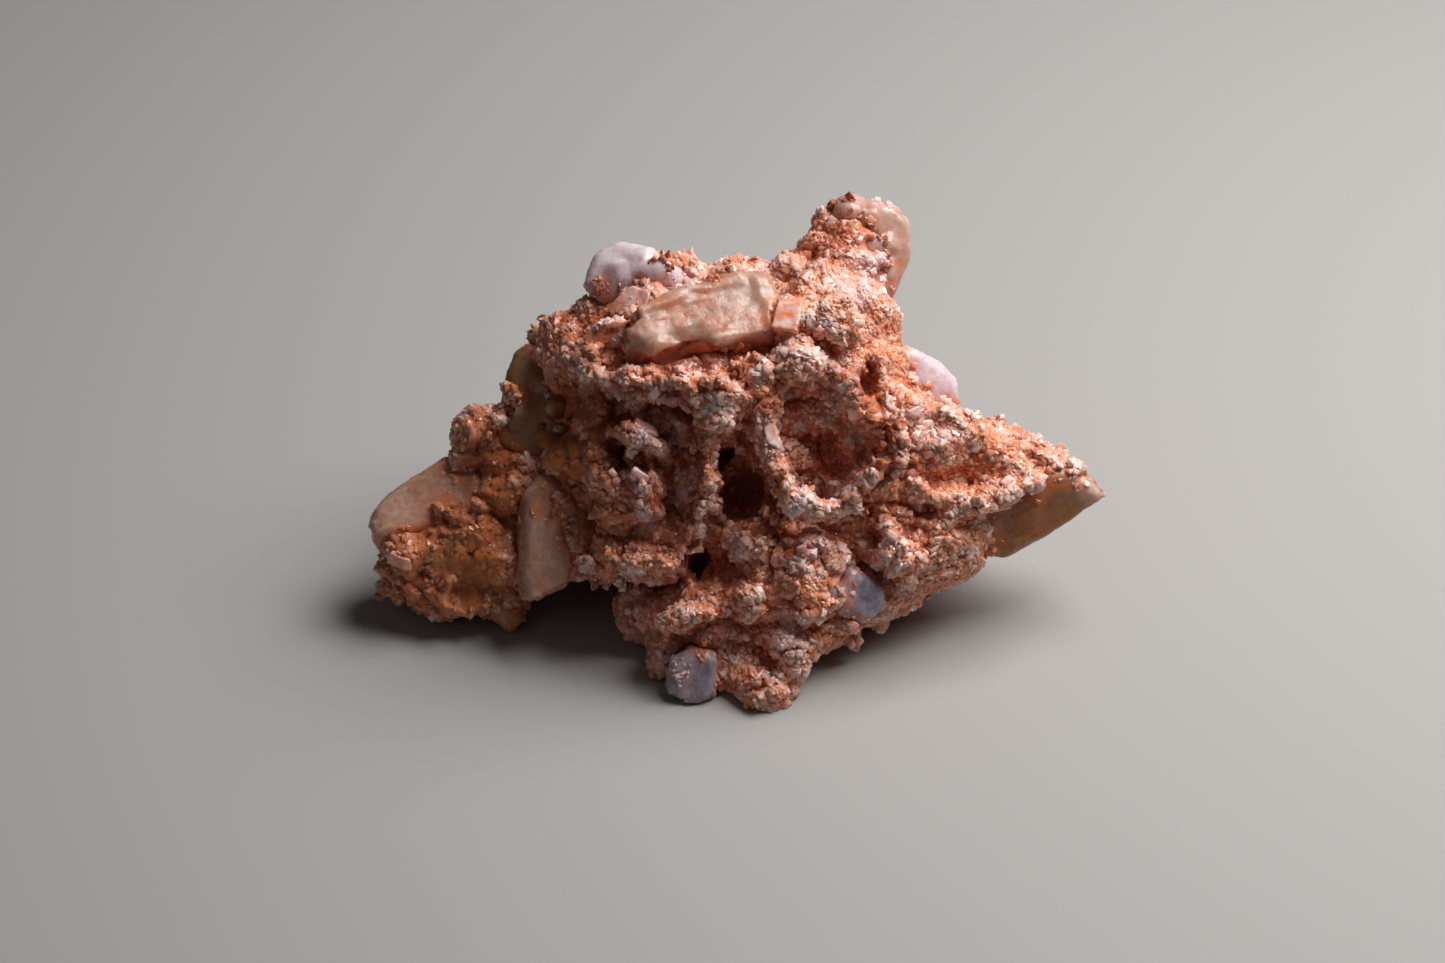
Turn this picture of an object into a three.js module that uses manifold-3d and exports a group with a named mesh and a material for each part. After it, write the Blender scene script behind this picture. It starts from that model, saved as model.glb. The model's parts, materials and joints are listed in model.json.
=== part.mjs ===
// Stilbite specimen: a hand-sized, salmon-coloured crust of small crystals, grown over and around larger
// milky blades. Millimetres, +Z up. The origin is on the resting plane, under the middle of the specimen's
// bounding box.
//
// The specimen is laid out on its display face, the side that it is shown from. That face leans back, so
// that it is seen square on from FACE_RISE above the horizon. A place on it is given as [across, up, out]:
// across to the right, up the face, and out of it towards the viewer, all from the middle of the face.
import * as THREE from "three";
import { ConvexGeometry } from "three/addons/geometries/ConvexGeometry.js";
import { ImprovedNoise } from "three/addons/math/ImprovedNoise.js";
import { MeshSurfaceSampler } from "three/addons/math/MeshSurfaceSampler.js";
import { SimplifyModifier } from "three/addons/modifiers/SimplifyModifier.js";
import { mergeVertices } from "three/addons/utils/BufferGeometryUtils.js";
import Module from "manifold-3d";

const wasm = await Module();
wasm.setup();
const rad = THREE.MathUtils.degToRad;
const UP = new THREE.Vector3(0, 0, 1);

// ---- driving dimensions ----
const FACE_RISE = rad(35);
const FACE_MIDDLE = new THREE.Vector3(0, 0, 17.9); // the middle of the display face, before centring
const SEAT_GAP = 0.3; // clearance between a blade and the crust that it grew in
const CHAMFER = 0.7; // the blades' worn edges
const FACET = 1.8; // length of the edges of a lump's facets
const SWELL = 0.85; // how far the crust's surface wanders in and out
const SWELL_SPACING = 3.8; // distance between its swells
const SMALLEST_LUMP = 0.9;
const GRAIN_COUNT = 300; // crystals fused to the crust
const GRAIN_LENGTH = [2, 2.9];
const GRAIN_WIDTH = [1.2, 2.3];
const GRAIN_ROOT = 1.5; // how deep a grain stands in the crust
const GRAIN_TILT = 0.9; // how far a grain leans from the surface's normal
const CRUST_CORNERS = 3300; // how many corners describe the crust's surface
const WELD = 1e-3; // corners closer than this are one
const BRIDGE_WIDTH = 0.35; // half the width of the slivers that part pinched edges
const FLOOR_BLOCK = 200; // side of the block that cuts the feet flat

// ---- the crust ----
// Uneven lumps, each [across, up, out, half across, half up, half out, roll in degrees].
const bulk = [
  [0, 4, -4, 19, 15.5, 13],
  [-4, 10, -0.5, 14, 9.6, 10.6],
  [-3, 15, -3, 13, 5.4, 9, -4],
  [9.5, 13.5, -1, 8.2, 6.6, 10.6],
  [11, 7, 0, 7.5, 8, 11],
  [-15.5, 9.5, -3, 6.2, 6.5, 8.6, 35],
  [-14, 2.5, -2, 7, 8, 9],
  [-1, -5, -3, 11, 9, 9.5],
  [15, -5, -1, 8, 8, 8.6],
];
const back = [
  [-8, 2, -15, 11, 9, 8],
  [9, 3, -16, 11, 9, 8],
  [13.5, -5.5, -20, 6.5, 6, 7.5],
  [-12, -3.5, -18, 6, 6, 8],
  [1, 12, -12, 9, 7, 8],
  [23, -1, -9, 6, 4.5, 5],
  [-23, -3, -11, 6, 5, 6],
  [-17, 6, -13, 4, 3.6, 4],
  [4, -1, -23, 5, 4, 3.6, 20],
  [-3, 8, -21, 4.4, 4, 4],
];
const crestAndHorn = [
  [-9, 17, 1, 5, 3.6, 5, -10],
  [-5.6, 18.6, -1, 4, 2.9, 4.4, -10],
  [0, 18.6, -2, 4.4, 2.6, 5],
  [6, 19, -2, 3.4, 2.7, 4.6],
  [9.6, 17.6, 0.4, 4, 3.6, 5],
  [12.3, 20.4, -2.4, 4.6, 4.4, 4.6, 20],
  [8.8, 22.2, -3, 2.4, 2.2, 3],
  [11.2, 24.6, -3.6, 3.4, 2.9, 3.2, 20],
  [13.4, 23, -1.6, 2.2, 3, 2.4],
  [10.8, 25.8, -4.2, 1.9, 1.4, 2],
  [14.6, 14.6, 1.5, 2.8, 4.2, 5],
  [16, 9.6, 0.4, 2.4, 3.6, 5.6, 10],
  [-17.5, 12.7, -0.5, 2.6, 2.4, 3.4],
  [-15.5, 15, -0.5, 2.4, 2, 3.2, 40],
  [-19.3, 12.2, -2, 2, 1.7, 2.6],
];
const brow = [
  [-14.4, 9.4, 6.4, 3.4, 2.8, 4, 10],
  [-9.6, 7.6, 9.4, 3.6, 1.7, 4, -10],
  [-5.6, 7.4, 10.8, 3, 2, 4, -12],
  [-1.6, 6.6, 11.4, 3.4, 2.1, 4, -14],
  [2.6, 8.6, 10.6, 2.8, 2, 3.6],
  [6.4, 9.4, 10.6, 3.4, 2.9, 4],
  [5.8, 13.4, 8.4, 2.7, 3.2, 3.6],
  [10.4, 13.6, 8.4, 3.2, 3.4, 3.8, 40],
  [-1.7, 3.6, 11, 2.2, 2.4, 3.2],
  [1.8, 3.6, 11.4, 1.3, 2.6, 2.6, 8],
  [2.8, 5.6, 11, 2.6, 1.4, 3, -24],
];
const nodule = [
  [-10.2, 1.6, 8.6, 3.5, 1.8, 3.6, -24],
  [-9.6, -4, 7.8, 2.5, 3.6, 3.8, 16],
  [-13.4, -2.4, 6.4, 2.5, 3.8, 3.6],
  [-12.6, -6.2, 5.6, 3, 2, 3.4],
];
const rightArm = [
  [20, 1.4, 0, 6.4, 5.4, 7, -12],
  [26, -0.1, -1, 7, 4.1, 6, -14],
  [31.6, -1, -1.4, 5.4, 3.2, 4.4, -26],
  [35.8, -2.2, -1.4, 3, 2, 2.6, -34],
  [22.5, -4.4, 4, 3, 1.7, 3, -10],
  [26.4, -4.4, 3.8, 3.2, 1.8, 3],
  [30.4, -2.9, 2.6, 2.6, 1.4, 2.6, 16],
  [23, 2.9, 4.4, 4, 1.9, 2.8, -16],
  [18.4, 4.6, 5, 2.6, 2.2, 3],
];
const lowerRight = [
  [20, -8.6, 0, 7, 5.8, 7, 20],
  [17.2, -10.4, 4.8, 3.9, 3.1, 3.8, 8],
  [15.6, -14.6, -1, 5, 3.6, 6, 30],
  [22.6, -10.6, -2, 5, 3.3, 5.4, 28],
  [21.4, -9.4, 4, 2.6, 2.2, 3, 30],
  [18.6, -13, 2.4, 2.8, 2, 3, 28],
];
const lowerMiddle = [
  [-9.4, -9.4, 1.6, 7, 3.6, 6],
  [-10.2, -11.4, 4.2, 5.2, 2.5, 4.4],
  [-14.6, -10.4, 1, 3.4, 3, 4.6],
  [6.4, -12.4, 4, 6.2, 6, 6.6],
  [2, -9.8, 6.2, 3.6, 2.4, 3.6, -20],
  [8.4, -10, 7.4, 2.6, 2.2, 3, -40],
  [7.2, -14.6, 7, 3.6, 2.6, 3.6, 30],
  [2, -15.4, 6.4, 3.4, 2.6, 3.6],
  [10.6, -17.2, 1.6, 4, 3, 5, 36],
];
const frontFoot = [
  [0.4, -16.4, 1.4, 8.4, 5, 6],
  [-5, -17.3, 6.6, 3.9, 1.9, 3.4, 14],
  [-9.2, -16.6, -2, 4, 4.4, 5, -50],
  [-6.6, -20.6, 1, 3.2, 4.2, 4.6],
  [-3.2, -22.4, 2.4, 4.4, 4, 4.4],
  [3, -24.6, 4.8, 4, 2.9, 4, 8],
  [0.2, -23.4, 3.6, 2.8, 2.6, 3.2],
  [2.6, -20.8, 1.4, 4.4, 3.6, 4],
  [5.6, -20.4, 5, 3.2, 3, 4, 30],
  [8.6, -18.8, 2.6, 2.9, 2.6, 4, 40],
  [5.8, -22.8, 5.6, 2, 1.6, 2.4],
];
const leftWing = [
  [-28.4, -9.4, -5.4, 8.4, 5.4, 7, 20],
  [-33, -13.2, -5, 5.4, 4.3, 6, -30],
  [-24.6, -14.4, -5, 3, 3.4, 4],
  [-27.3, 2, -4.4, 3.4, 4.1, 4.2],
  [-29.2, -0.4, -3.6, 2, 2.2, 2.6],
  [-22.6, -3.4, -5, 5.4, 5, 6.2],
  [-17.6, -6.8, -2.6, 4.4, 7, 6.6],
  [-24, -4.4, -0.8, 4.8, 1.5, 2.6, 36],
  [-28.6, -7.4, -1, 3.8, 1.6, 2.8, 24],
  [-25.4, -11.6, -0.4, 2.8, 2.3, 2.6],
  [-34.6, -10.8, -1.4, 2.6, 2.6, 3],
  [-31, -16, -1.8, 3.4, 2, 2.8],
  [-35.8, -14.2, -3.4, 2.2, 2.4, 2.6],
  [-27.4, -15, -3, 3, 2.6, 3],
  [-24.4, -17.4, -3.6, 1.8, 2, 2.4, -20],
];
const bowlFilling = [
  [9, 3.4, 6.4, 2.6, 1.9, 2.6],
  [12, 0.6, 6, 1.9, 2.4, 2.4],
  [7, -0.4, 5.6, 1.7, 2.2, 2.4],
  [10, -3.2, 5.4, 2, 1.5, 2.2],
];
// What is taken away again, written as the lumps are.
const pits = [
  [0.5, -3.9, 11, 2.2, 4.5, 7.4], // the deep hole in the middle of the face
  [-1.4, -0.6, 9, 1.5, 1.4, 7.6],
  [-3.7, -12.2, 9, 1.5, 2.7, 9.4], // and a narrower one under it
  [9.5, -0.1, 13, 4.8, 5.4, 7.6], // the bowl
  [-5.4, -0.6, 11.4, 1.2, 5.6, 4.4, -6], // the groove behind the nodule
  [-7.4, 4.4, 11.6, 3, 1.5, 4, -24],
  [-11.2, -1.6, 12, 2.4, 0.6, 3, -36], // between its lobes
  [-10, -7.6, 9.6, 4.6, 0.8, 3.6],
  [1, -7.6, 11, 1.4, 1.2, 3],
  [0.1, 3.6, 14, 0.5, 2.4, 2.6, 4],
  [6.4, -7.2, 10, 1.1, 0.8, 4.4],
  [13.4, -8, 9.4, 2, 0.8, 5, 12],
  [20.2, -6, 7.6, 1.7, 1.6, 3.4],
  [9.8, 10.4, 13.4, 0.8, 4.6, 4, 42], // the valley above the bowl
  [14, 8.4, 11, 1.2, 2.6, 5, 12],
  [-0.2, -20.2, 9.6, 3.4, 1.6, 4.4, 4], // the cavity beside the foot's blade
  [-2, 9.6, 15.4, 6.4, 0.7, 3.4, -8],
  [-28, -10.2, 2.6, 2.2, 1.6, 3],
  [-33.2, -11.6, 2, 0.8, 2, 2.6, 30],
  [19.4, -2.2, 9, 4.4, 0.6, 3.6, 4],
  [17.6, 1.4, 10.4, 0.6, 2.6, 3.4, 10],
  [8, -12.4, 12.4, 0.6, 3, 3.2, 40],
  [-2, 19, 6, 1.2, 1, 3.4],
  [2.6, -24.2, 9.6, 1, 0.9, 2.4],
];
// Ridges of small lumps: a width, then places on the face.
const ridges = [
  [1.5, [-4.6, 6.4, 10.6], [-3.2, 3.6, 11.4], [-2.8, 0.2, 10.8], [-3, -3.8, 10], [-4.2, -8, 8.4]],
  [1.3, [2.4, 3.4, 11.4], [3.2, 0.6, 11], [4.4, -3.6, 10.4], [6.4, -5.4, 10.2]],
  [1.3, [6.4, -5.4, 10.2], [9, -6, 9.8], [12, -5.6, 9.8], [13.6, -3.4, 9.8]],
  [1.4, [14.6, 5.6, 9.4], [16.2, 3, 9.2], [16.4, 0, 9], [15.2, -3.2, 8.8], [13.2, -6, 8.8]],
  [1.2, [4.2, -7, 8.8], [4.4, -9.6, 9], [6.4, -12, 9.6], [9.6, -14.4, 8.2]],
  [1.2, [18, -3.4, 6.4], [22, -4.8, 6.4], [26.4, -5.2, 5.8], [30, -3.6, 4.8]],
  [1.3, [-14.4, -10.6, 4.8], [-10.6, -11, 7.2], [-6.6, -11.2, 7.2], [-5.6, -8.8, 7.4]],
  [1.3, [-12.6, 7.2, 9.2], [-9, 6.4, 11], [-5.6, 6, 12.2], [-2, 5.4, 13]],
];

// ---- the blades ----
// Each outline is given on the face, as it is seen, with the distance out of its middle, the thickness, and
// the degrees that it leans (about across) and swings (about up).
const blades = {
  upper_blade_crystal: {
    outline: [
      [-11.7, 10.6], [-11.2, 13.6], [-6, 16], [0.2, 18],
      [3.6, 18.2], [4.6, 15.4], [4.2, 11], [-9, 9.4],
    ],
    out: 7.4,
    thickness: 6.4,
    lean: -28,
    swing: 8,
  },
  shoulder_crystal: {
    outline: [
      [-15.8, 17.2], [-14.6, 20.8], [-12, 22], [-9.2, 21.4],
      [-5.4, 18.4], [-8.6, 15.4], [-13.6, 15.2],
    ],
    out: 0.6,
    thickness: 6,
    lean: -20,
    swing: -12,
  },
  left_back_crystal: {
    outline: [
      [-25.6, 1.4], [-24.6, 6.6], [-23.2, 11], [-21.4, 12.2],
      [-17.4, 9.4], [-16.8, 1.6], [-20.6, -1.4],
    ],
    out: -3.6,
    thickness: 5.4,
    swing: -14,
  },
  left_end_crystal: {
    outline: [
      [-39, -7.2], [-37.2, -4.8], [-31, -0.9], [-27.4, -1.8],
      [-26, -5.2], [-30.4, -8.6], [-38.2, -9.8],
    ],
    out: -4.4,
    thickness: 5.6,
    lean: -24,
  },
  column_crystal: {
    outline: [
      [-22.4, -4.6], [-20.6, -2.8], [-16.2, -3.4], [-16.9, -7.6],
      [-18.4, -14.2], [-22.3, -15.5], [-23, -13.2],
    ],
    out: 0.8,
    thickness: 5.2,
    lean: -6,
    swing: 18,
  },
  horn_crystal: {
    outline: [
      [11, 26.8], [13.8, 27.6], [17, 27], [18.5, 25],
      [18.6, 21.2], [16.8, 17.2], [12, 15], [10.6, 20],
    ],
    out: -4.8,
    thickness: 4.4,
    swing: 16,
  },
  right_back_crystal: {
    outline: [[16.6, 11.4], [18, 11.8], [21.4, 9.9], [23.3, 7.9], [23.4, 5.4], [21, 2.4], [15.6, 4.6]],
    out: -3.4,
    thickness: 5,
    swing: 20,
  },
  right_tip_crystal: {
    outline: [
      [24.4, -5.6], [28, -2], [34, -0.9], [37.4, -2],
      [39.4, -3.9], [34, -7.5], [28.7, -10.7], [25.4, -10.2],
    ],
    out: -1.4,
    thickness: 5.2,
    lean: 16,
    swing: 6,
  },
  lower_prism_crystal: {
    outline: [[9.4, -13.6], [11.2, -11.6], [15, -13.8], [15.3, -16.2], [12.8, -17.8], [10, -16.6]],
    out: 4.8,
    thickness: 5,
    swing: 24,
  },
  foot_crystal: {
    outline: [[-6.9, -21.4], [-4.8, -19.9], [-1.8, -20.6], [-2, -25], [-4.4, -26.4], [-7.3, -24.6]],
    out: 5.2,
    thickness: 4.6,
    lean: 10,
  },
  rear_blade_crystal: {
    outline: [[-14, 9.4], [-11.6, 12.8], [0.6, 15.4], [2.4, 12.6], [0, 9.2], [-12, 6.6]],
    out: -19,
    thickness: 5.6,
    lean: 24,
    swing: -10,
  },
  rear_prism_crystal: {
    outline: [[12, -2], [13.6, 6.6], [17.4, 9.4], [20.8, 6.8], [19.4, -1.6], [15.6, -4]],
    out: -19.6,
    thickness: 5,
    lean: 6,
    swing: 24,
  },
};
// Small blades that are fused to the crust.
const splinters = [
  { outline: [[-27.2, 1.4], [-26.2, 1.2], [-23, 6], [-23.6, 6.8]], out: 0.6, thickness: 2.4, chamfer: 0.2 },
  { outline: [[-15, 11.8], [-14.6, 13], [-10.6, 14], [-10.4, 12.2]], out: 8.4, thickness: 3, chamfer: 0.3 },
  {
    outline: [[-10.6, 17], [-9.4, 20], [-6.6, 19.4], [-7, 16.4]],
    out: 5,
    thickness: 3,
    chamfer: 0.3,
    lean: -20,
  },
  { outline: [[-9.6, -25], [-9.4, -21.6], [-7, -20], [-6.4, -25.2]], out: 1.6, thickness: 3, chamfer: 0.4 },
];

// ---- placing ----
const faceFrame = new THREE.Matrix4()
  .makeRotationX(Math.PI / 2 - FACE_RISE)
  .setPosition(FACE_MIDDLE);

function onFace(across, up, out, { lean = 0, swing = 0, roll = 0 } = {}) {
  const turn = new THREE.Euler(rad(lean), rad(swing), rad(roll), "ZYX");
  const local = new THREE.Matrix4().makeRotationFromEuler(turn).setPosition(across, up, out);
  return faceFrame.clone().multiply(local);
}

// A repeatable run of numbers from 0 to 1.
function seeded(seed) {
  let state = seed;
  return () => {
    state = (state * 1664525 + 1013904223) % 4294967296;
    return state / 4294967296;
  };
}

// ---- solids and their geometry ----
function solidOf(geometry, matrix = new THREE.Matrix4()) {
  const bare = new THREE.BufferGeometry();
  bare.setAttribute("position", geometry.getAttribute("position").clone());
  bare.setIndex(geometry.index);
  const merged = mergeVertices(bare.applyMatrix4(matrix), WELD);
  return new wasm.Manifold(
    new wasm.Mesh({
      numProp: 3,
      vertProperties: merged.getAttribute("position").array,
      triVerts: new Uint32Array(merged.index.array),
    }),
  );
}

function geometryOf(solid) {
  const { vertProperties, triVerts } = solid.getMesh();
  const geometry = new THREE.BufferGeometry();
  geometry.setAttribute("position", new THREE.BufferAttribute(vertProperties, 3));
  geometry.setIndex(new THREE.BufferAttribute(triVerts, 1));
  geometry.computeVertexNormals();
  return geometry;
}

// The largest body of a solid: what is left without sealed gaps between lumps and without loose crumbs.
function largestBody(solid) {
  return solid.decompose().sort((a, b) => b.volume() - a.volume())[0];
}

// The same solid with fewer corners, the flattest given up first.
async function lightened(solid, corners) {
  const geometry = geometryOf(solid);
  geometry.deleteAttribute("normal");
  const spare = geometry.getAttribute("position").count - corners;
  return solidOf(await new SimplifyModifier().modify(geometry, spare));
}

// Edges along which a surface meets itself, so that more than two facets share them.
function pinchedEdges(solid) {
  const geometry = geometryOf(solid);
  geometry.deleteAttribute("normal");
  const merged = mergeVertices(geometry, WELD);
  const [corners, index] = [merged.getAttribute("position"), merged.index.array];
  const uses = new Map();
  index.forEach((a, i) => {
    const b = index[i % 3 === 2 ? i - 2 : i + 1];
    const key = Math.min(a, b) * corners.count + Math.max(a, b);
    uses.set(key, (uses.get(key) ?? 0) + 1);
  });
  const corner = (i) => new THREE.Vector3().fromBufferAttribute(corners, i);
  const pinched = [...uses.keys()].filter((key) => uses.get(key) > 2);
  return pinched.map((key) => [corner(Math.floor(key / corners.count)), corner(key % corners.count)]);
}

// A sliver of crust that covers a pinched edge.
function bridge([from, to]) {
  const [along, middle] = [to.clone().sub(from), from.clone().lerp(to, 0.5)];
  const stand = new THREE.Quaternion().setFromUnitVectors(UP, along.clone().normalize());
  const size = new THREE.Vector3(BRIDGE_WIDTH, BRIDGE_WIDTH, along.length());
  return solidOf(new THREE.OctahedronGeometry(1), new THREE.Matrix4().compose(middle, stand, size));
}

// ---- the crust's forms ----
const noise = new ImprovedNoise();

function swell(p) {
  const q = p.clone().divideScalar(SWELL_SPACING);
  return SWELL * (noise.noise(q.x, q.y, q.z) + 0.6 * noise.noise(2.3 * q.x + 7, 2.3 * q.y, 2.3 * q.z));
}

// An uneven rounded lump. Its surface swells in and out along the lines from its centre.
function lump([across, up, out, halfAcross, halfUp, halfOut, roll = 0]) {
  const size = (halfAcross + halfUp + halfOut) / 3;
  const matrix = onFace(across, up, out, { roll }).scale(new THREE.Vector3(halfAcross, halfUp, halfOut));
  const ball = new THREE.IcosahedronGeometry(1, Math.max(1, Math.round(size / FACET - 1)));
  ball.applyMatrix4(matrix);
  const centre = new THREE.Vector3().setFromMatrixPosition(matrix);
  const corners = ball.getAttribute("position");
  const p = new THREE.Vector3();
  for (let i = 0; i < corners.count; i++) {
    p.fromBufferAttribute(corners, i);
    const reach = p.distanceTo(centre);
    const share = Math.min(1, reach / (4 * SWELL));
    p.sub(centre).multiplyScalar(1 + (share * swell(p)) / reach).add(centre);
    corners.setXYZ(i, p.x, p.y, p.z);
  }
  return solidOf(ball);
}

// A ridge of small uneven lumps along a smooth line through places on the face.
function ridge([width, ...places], random) {
  const line = new THREE.CatmullRomCurve3(places.map((p) => new THREE.Vector3(...p)));
  const count = Math.round(line.getLength() / width);
  return line.getSpacedPoints(count).map((p) => {
    const halves = [0, 1, 2].map(() => Math.max(SMALLEST_LUMP, width * (0.65 + 0.6 * random())));
    return lump([p.x + 0.6 * (random() - 0.5), p.y, p.z, ...halves, 180 * random()]);
  });
}

// A small blocky crystal with a slanted top, standing on its root.
function grain(length, width, thickness, slant) {
  const [x, y] = [width / 2, thickness / 2];
  const corners = [[-x, -y], [x, -y], [x, y], [-x, y]];
  const top = (across) => length - GRAIN_ROOT - slant * (across + x);
  const foot = corners.map(([a, b]) => new THREE.Vector3(0.7 * a, 0.7 * b, -GRAIN_ROOT));
  const crown = corners.map(([a, b]) => new THREE.Vector3(a, b, top(a)));
  return new ConvexGeometry([...foot, ...crown]);
}

// Grains strewn over the crust, leaning a little from its surface. The resting feet stay clear of them.
function grains(crust, random) {
  const between = ([low, high]) => low + (high - low) * random();
  const sampler = new MeshSurfaceSampler(new THREE.Mesh(geometryOf(crust)));
  sampler.setRandomGenerator(random).build();
  const place = () => {
    const [spot, normal] = [new THREE.Vector3(), new THREE.Vector3()];
    sampler.sample(spot, normal);
    const tilt = new THREE.Vector3(random() - 0.5, random() - 0.5, random() - 0.5);
    const leaning = normal.addScaledVector(tilt, GRAIN_TILT).normalize();
    const stand = new THREE.Quaternion().setFromUnitVectors(UP, leaning);
    const spin = new THREE.Quaternion().setFromAxisAngle(UP, Math.PI * random());
    const [length, width] = [between(GRAIN_LENGTH), between(GRAIN_WIDTH)];
    const shape = grain(length, width, 0.8 * between(GRAIN_WIDTH), 0.4 * random());
    const matrix = new THREE.Matrix4().compose(spot, stand.multiply(spin), new THREE.Vector3(1, 1, 1));
    return spot.z < GRAIN_LENGTH[1] ? place() : solidOf(shape, matrix);
  };
  return wasm.Manifold.union(Array.from({ length: GRAIN_COUNT }, place));
}

// A blade as a solid, enlarged all round by the margin.
function blade({ outline, out, thickness, chamfer = CHAMFER, lean = 0, swing = 0 }, margin = 0) {
  const shape = outline.map(([across, up]) => new THREE.Vector2(across, up));
  const middle = new THREE.Box2().setFromPoints(shape).getCenter(new THREE.Vector2());
  const foreshortening = new THREE.Vector2(Math.cos(rad(swing)), Math.cos(rad(lean)));
  const corners = shape.map((p) => p.clone().sub(middle).divide(foreshortening));
  const layer = (inset, height) =>
    corners.map((p) => new THREE.Vector3(...p.clone().setLength(p.length() - inset), height));
  const half = thickness / 2;
  const points = [-1, 1].flatMap((side) => [
    ...layer(0, side * (half - chamfer)),
    ...layer(1.3 * chamfer, side * half),
  ]);
  const size = new THREE.Box3().setFromPoints(points).getSize(new THREE.Vector3());
  const growth = size.clone().addScalar(2 * margin).divide(size);
  const place = onFace(middle.x, middle.y, out, { lean, swing });
  return solidOf(new ConvexGeometry(points), place.scale(growth));
}

function ground() {
  const block = new THREE.BoxGeometry(FLOOR_BLOCK, FLOOR_BLOCK, FLOOR_BLOCK);
  return solidOf(block, new THREE.Matrix4().makeTranslation(0, 0, -FLOOR_BLOCK / 2));
}

async function crustSolid() {
  const random = seeded(11);
  const lumps = [
    bulk, back, crestAndHorn, brow, nodule, rightArm, lowerRight, lowerMiddle, frontFoot, leftWing,
  ].flat();
  const raised = [
    ...ridges.flatMap((r) => ridge(r, random)),
    ...bowlFilling.map(lump),
    ...splinters.map((s) => blade(s)),
  ];
  const pitted = wasm.Manifold.union(lumps.map(lump)).subtract(wasm.Manifold.union(pits.map(lump)));
  const formed = largestBody(pitted.add(wasm.Manifold.union(raised)));
  const grown = largestBody(formed.add(grains(formed, random)));
  const pockets = Object.values(blades).map((b) => blade(b, SEAT_GAP));
  const light = await lightened(grown, CRUST_CORNERS);
  const sound = light.add(wasm.Manifold.union(pinchedEdges(light).map(bridge)));
  const seated = sound.subtract(wasm.Manifold.union([ground(), ...pockets]));
  return largestBody(solidOf(geometryOf(largestBody(seated))));
}

// ---- the specimen ----
const specimen = new THREE.Group();
const part = new THREE.Group().add(specimen);

function addPiece(name, solid, color, roughness) {
  const piece = new THREE.Mesh(geometryOf(solid), new THREE.MeshStandardMaterial({ color, roughness }));
  piece.name = name;
  specimen.add(piece);
}

const crust = await crustSolid();
addPiece("drusy_crust", crust, 0xd9a184, 0.6);
for (const [name, form] of Object.entries(blades)) {
  addPiece(name, blade(form).subtract(ground()), 0xb9ac98, 0.4);
}
const middle = new THREE.Box3().setFromObject(specimen).getCenter(new THREE.Vector3());
specimen.position.set(-middle.x, -middle.y, 0);
export default part;
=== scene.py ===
"""Stilbite specimen: a salmon crust of small crystals, with larger milky crystals seated in it."""

import json
import math

import bmesh
import bpy
import numpy as np
from mathutils import Matrix, Vector
from mathutils.bvhtree import BVHTree

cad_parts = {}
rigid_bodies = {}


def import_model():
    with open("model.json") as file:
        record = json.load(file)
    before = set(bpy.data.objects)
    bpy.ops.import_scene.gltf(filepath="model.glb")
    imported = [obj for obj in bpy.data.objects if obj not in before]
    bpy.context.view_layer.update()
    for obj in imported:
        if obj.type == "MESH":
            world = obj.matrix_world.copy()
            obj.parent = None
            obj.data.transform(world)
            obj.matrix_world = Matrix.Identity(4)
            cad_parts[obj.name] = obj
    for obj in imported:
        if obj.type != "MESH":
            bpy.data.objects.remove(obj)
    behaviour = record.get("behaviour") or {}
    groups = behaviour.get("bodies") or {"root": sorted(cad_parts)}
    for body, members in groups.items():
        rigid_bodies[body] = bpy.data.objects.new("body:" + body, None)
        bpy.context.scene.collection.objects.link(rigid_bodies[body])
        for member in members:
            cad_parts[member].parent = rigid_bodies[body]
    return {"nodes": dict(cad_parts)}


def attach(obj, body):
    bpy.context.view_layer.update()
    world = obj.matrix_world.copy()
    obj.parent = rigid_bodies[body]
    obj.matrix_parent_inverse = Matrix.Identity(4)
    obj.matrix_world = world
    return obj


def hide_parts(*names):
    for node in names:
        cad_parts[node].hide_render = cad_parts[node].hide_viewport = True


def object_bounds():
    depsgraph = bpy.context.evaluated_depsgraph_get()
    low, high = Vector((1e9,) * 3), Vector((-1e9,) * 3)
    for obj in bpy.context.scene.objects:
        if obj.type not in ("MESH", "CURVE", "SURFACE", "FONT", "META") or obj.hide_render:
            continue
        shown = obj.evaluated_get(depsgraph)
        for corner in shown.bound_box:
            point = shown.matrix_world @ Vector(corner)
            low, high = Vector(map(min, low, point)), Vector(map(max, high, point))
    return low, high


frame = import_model()
bpy.context.view_layer.update()
CAD_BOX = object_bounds()

bl_info = {
    "name": "Stilbite Specimen",
    "version": (1, 0, 0),
    "blender": (4, 5, 0),
    "location": "View3D > Sidebar > Specimen",
    "description": "Grows a salmon druse with milky crystals over the solids of a stilbite specimen",
    "category": "Object",
}

MM = 0.001
CRUST = "drusy_crust"
TAN_CRYSTALS = (
    "upper_blade_crystal",
    "left_back_crystal",
    "left_end_crystal",
    "column_crystal",
    "horn_crystal",
    "right_tip_crystal",
    "rear_blade_crystal",
    "rear_prism_crystal",
)
LAVENDER_CRYSTALS = (
    "shoulder_crystal",
    "right_back_crystal",
    "lower_prism_crystal",
    "foot_crystal",
)
# Crystals coloured with the darker olive and slate: partly their own duller colour, partly painted shade.
DULL_AND_SHADED_CRYSTALS = ("left_back_crystal", "right_tip_crystal", "lower_prism_crystal", "foot_crystal")
FLUSHED_CRYSTAL = "upper_blade_crystal"

# The display face leans back, so that it is seen square on from this far above the horizon.
FACE_RISE = math.radians(35)
FACE_MIDDLE = Vector((-0.32, -2.33, 17.9))
FACE_LEVEL = Vector((1, 0, 0))
FACE_UP = Vector((0, math.sin(FACE_RISE), math.cos(FACE_RISE)))
FACE_OUT = Vector((0, -math.cos(FACE_RISE), math.sin(FACE_RISE)))

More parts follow.
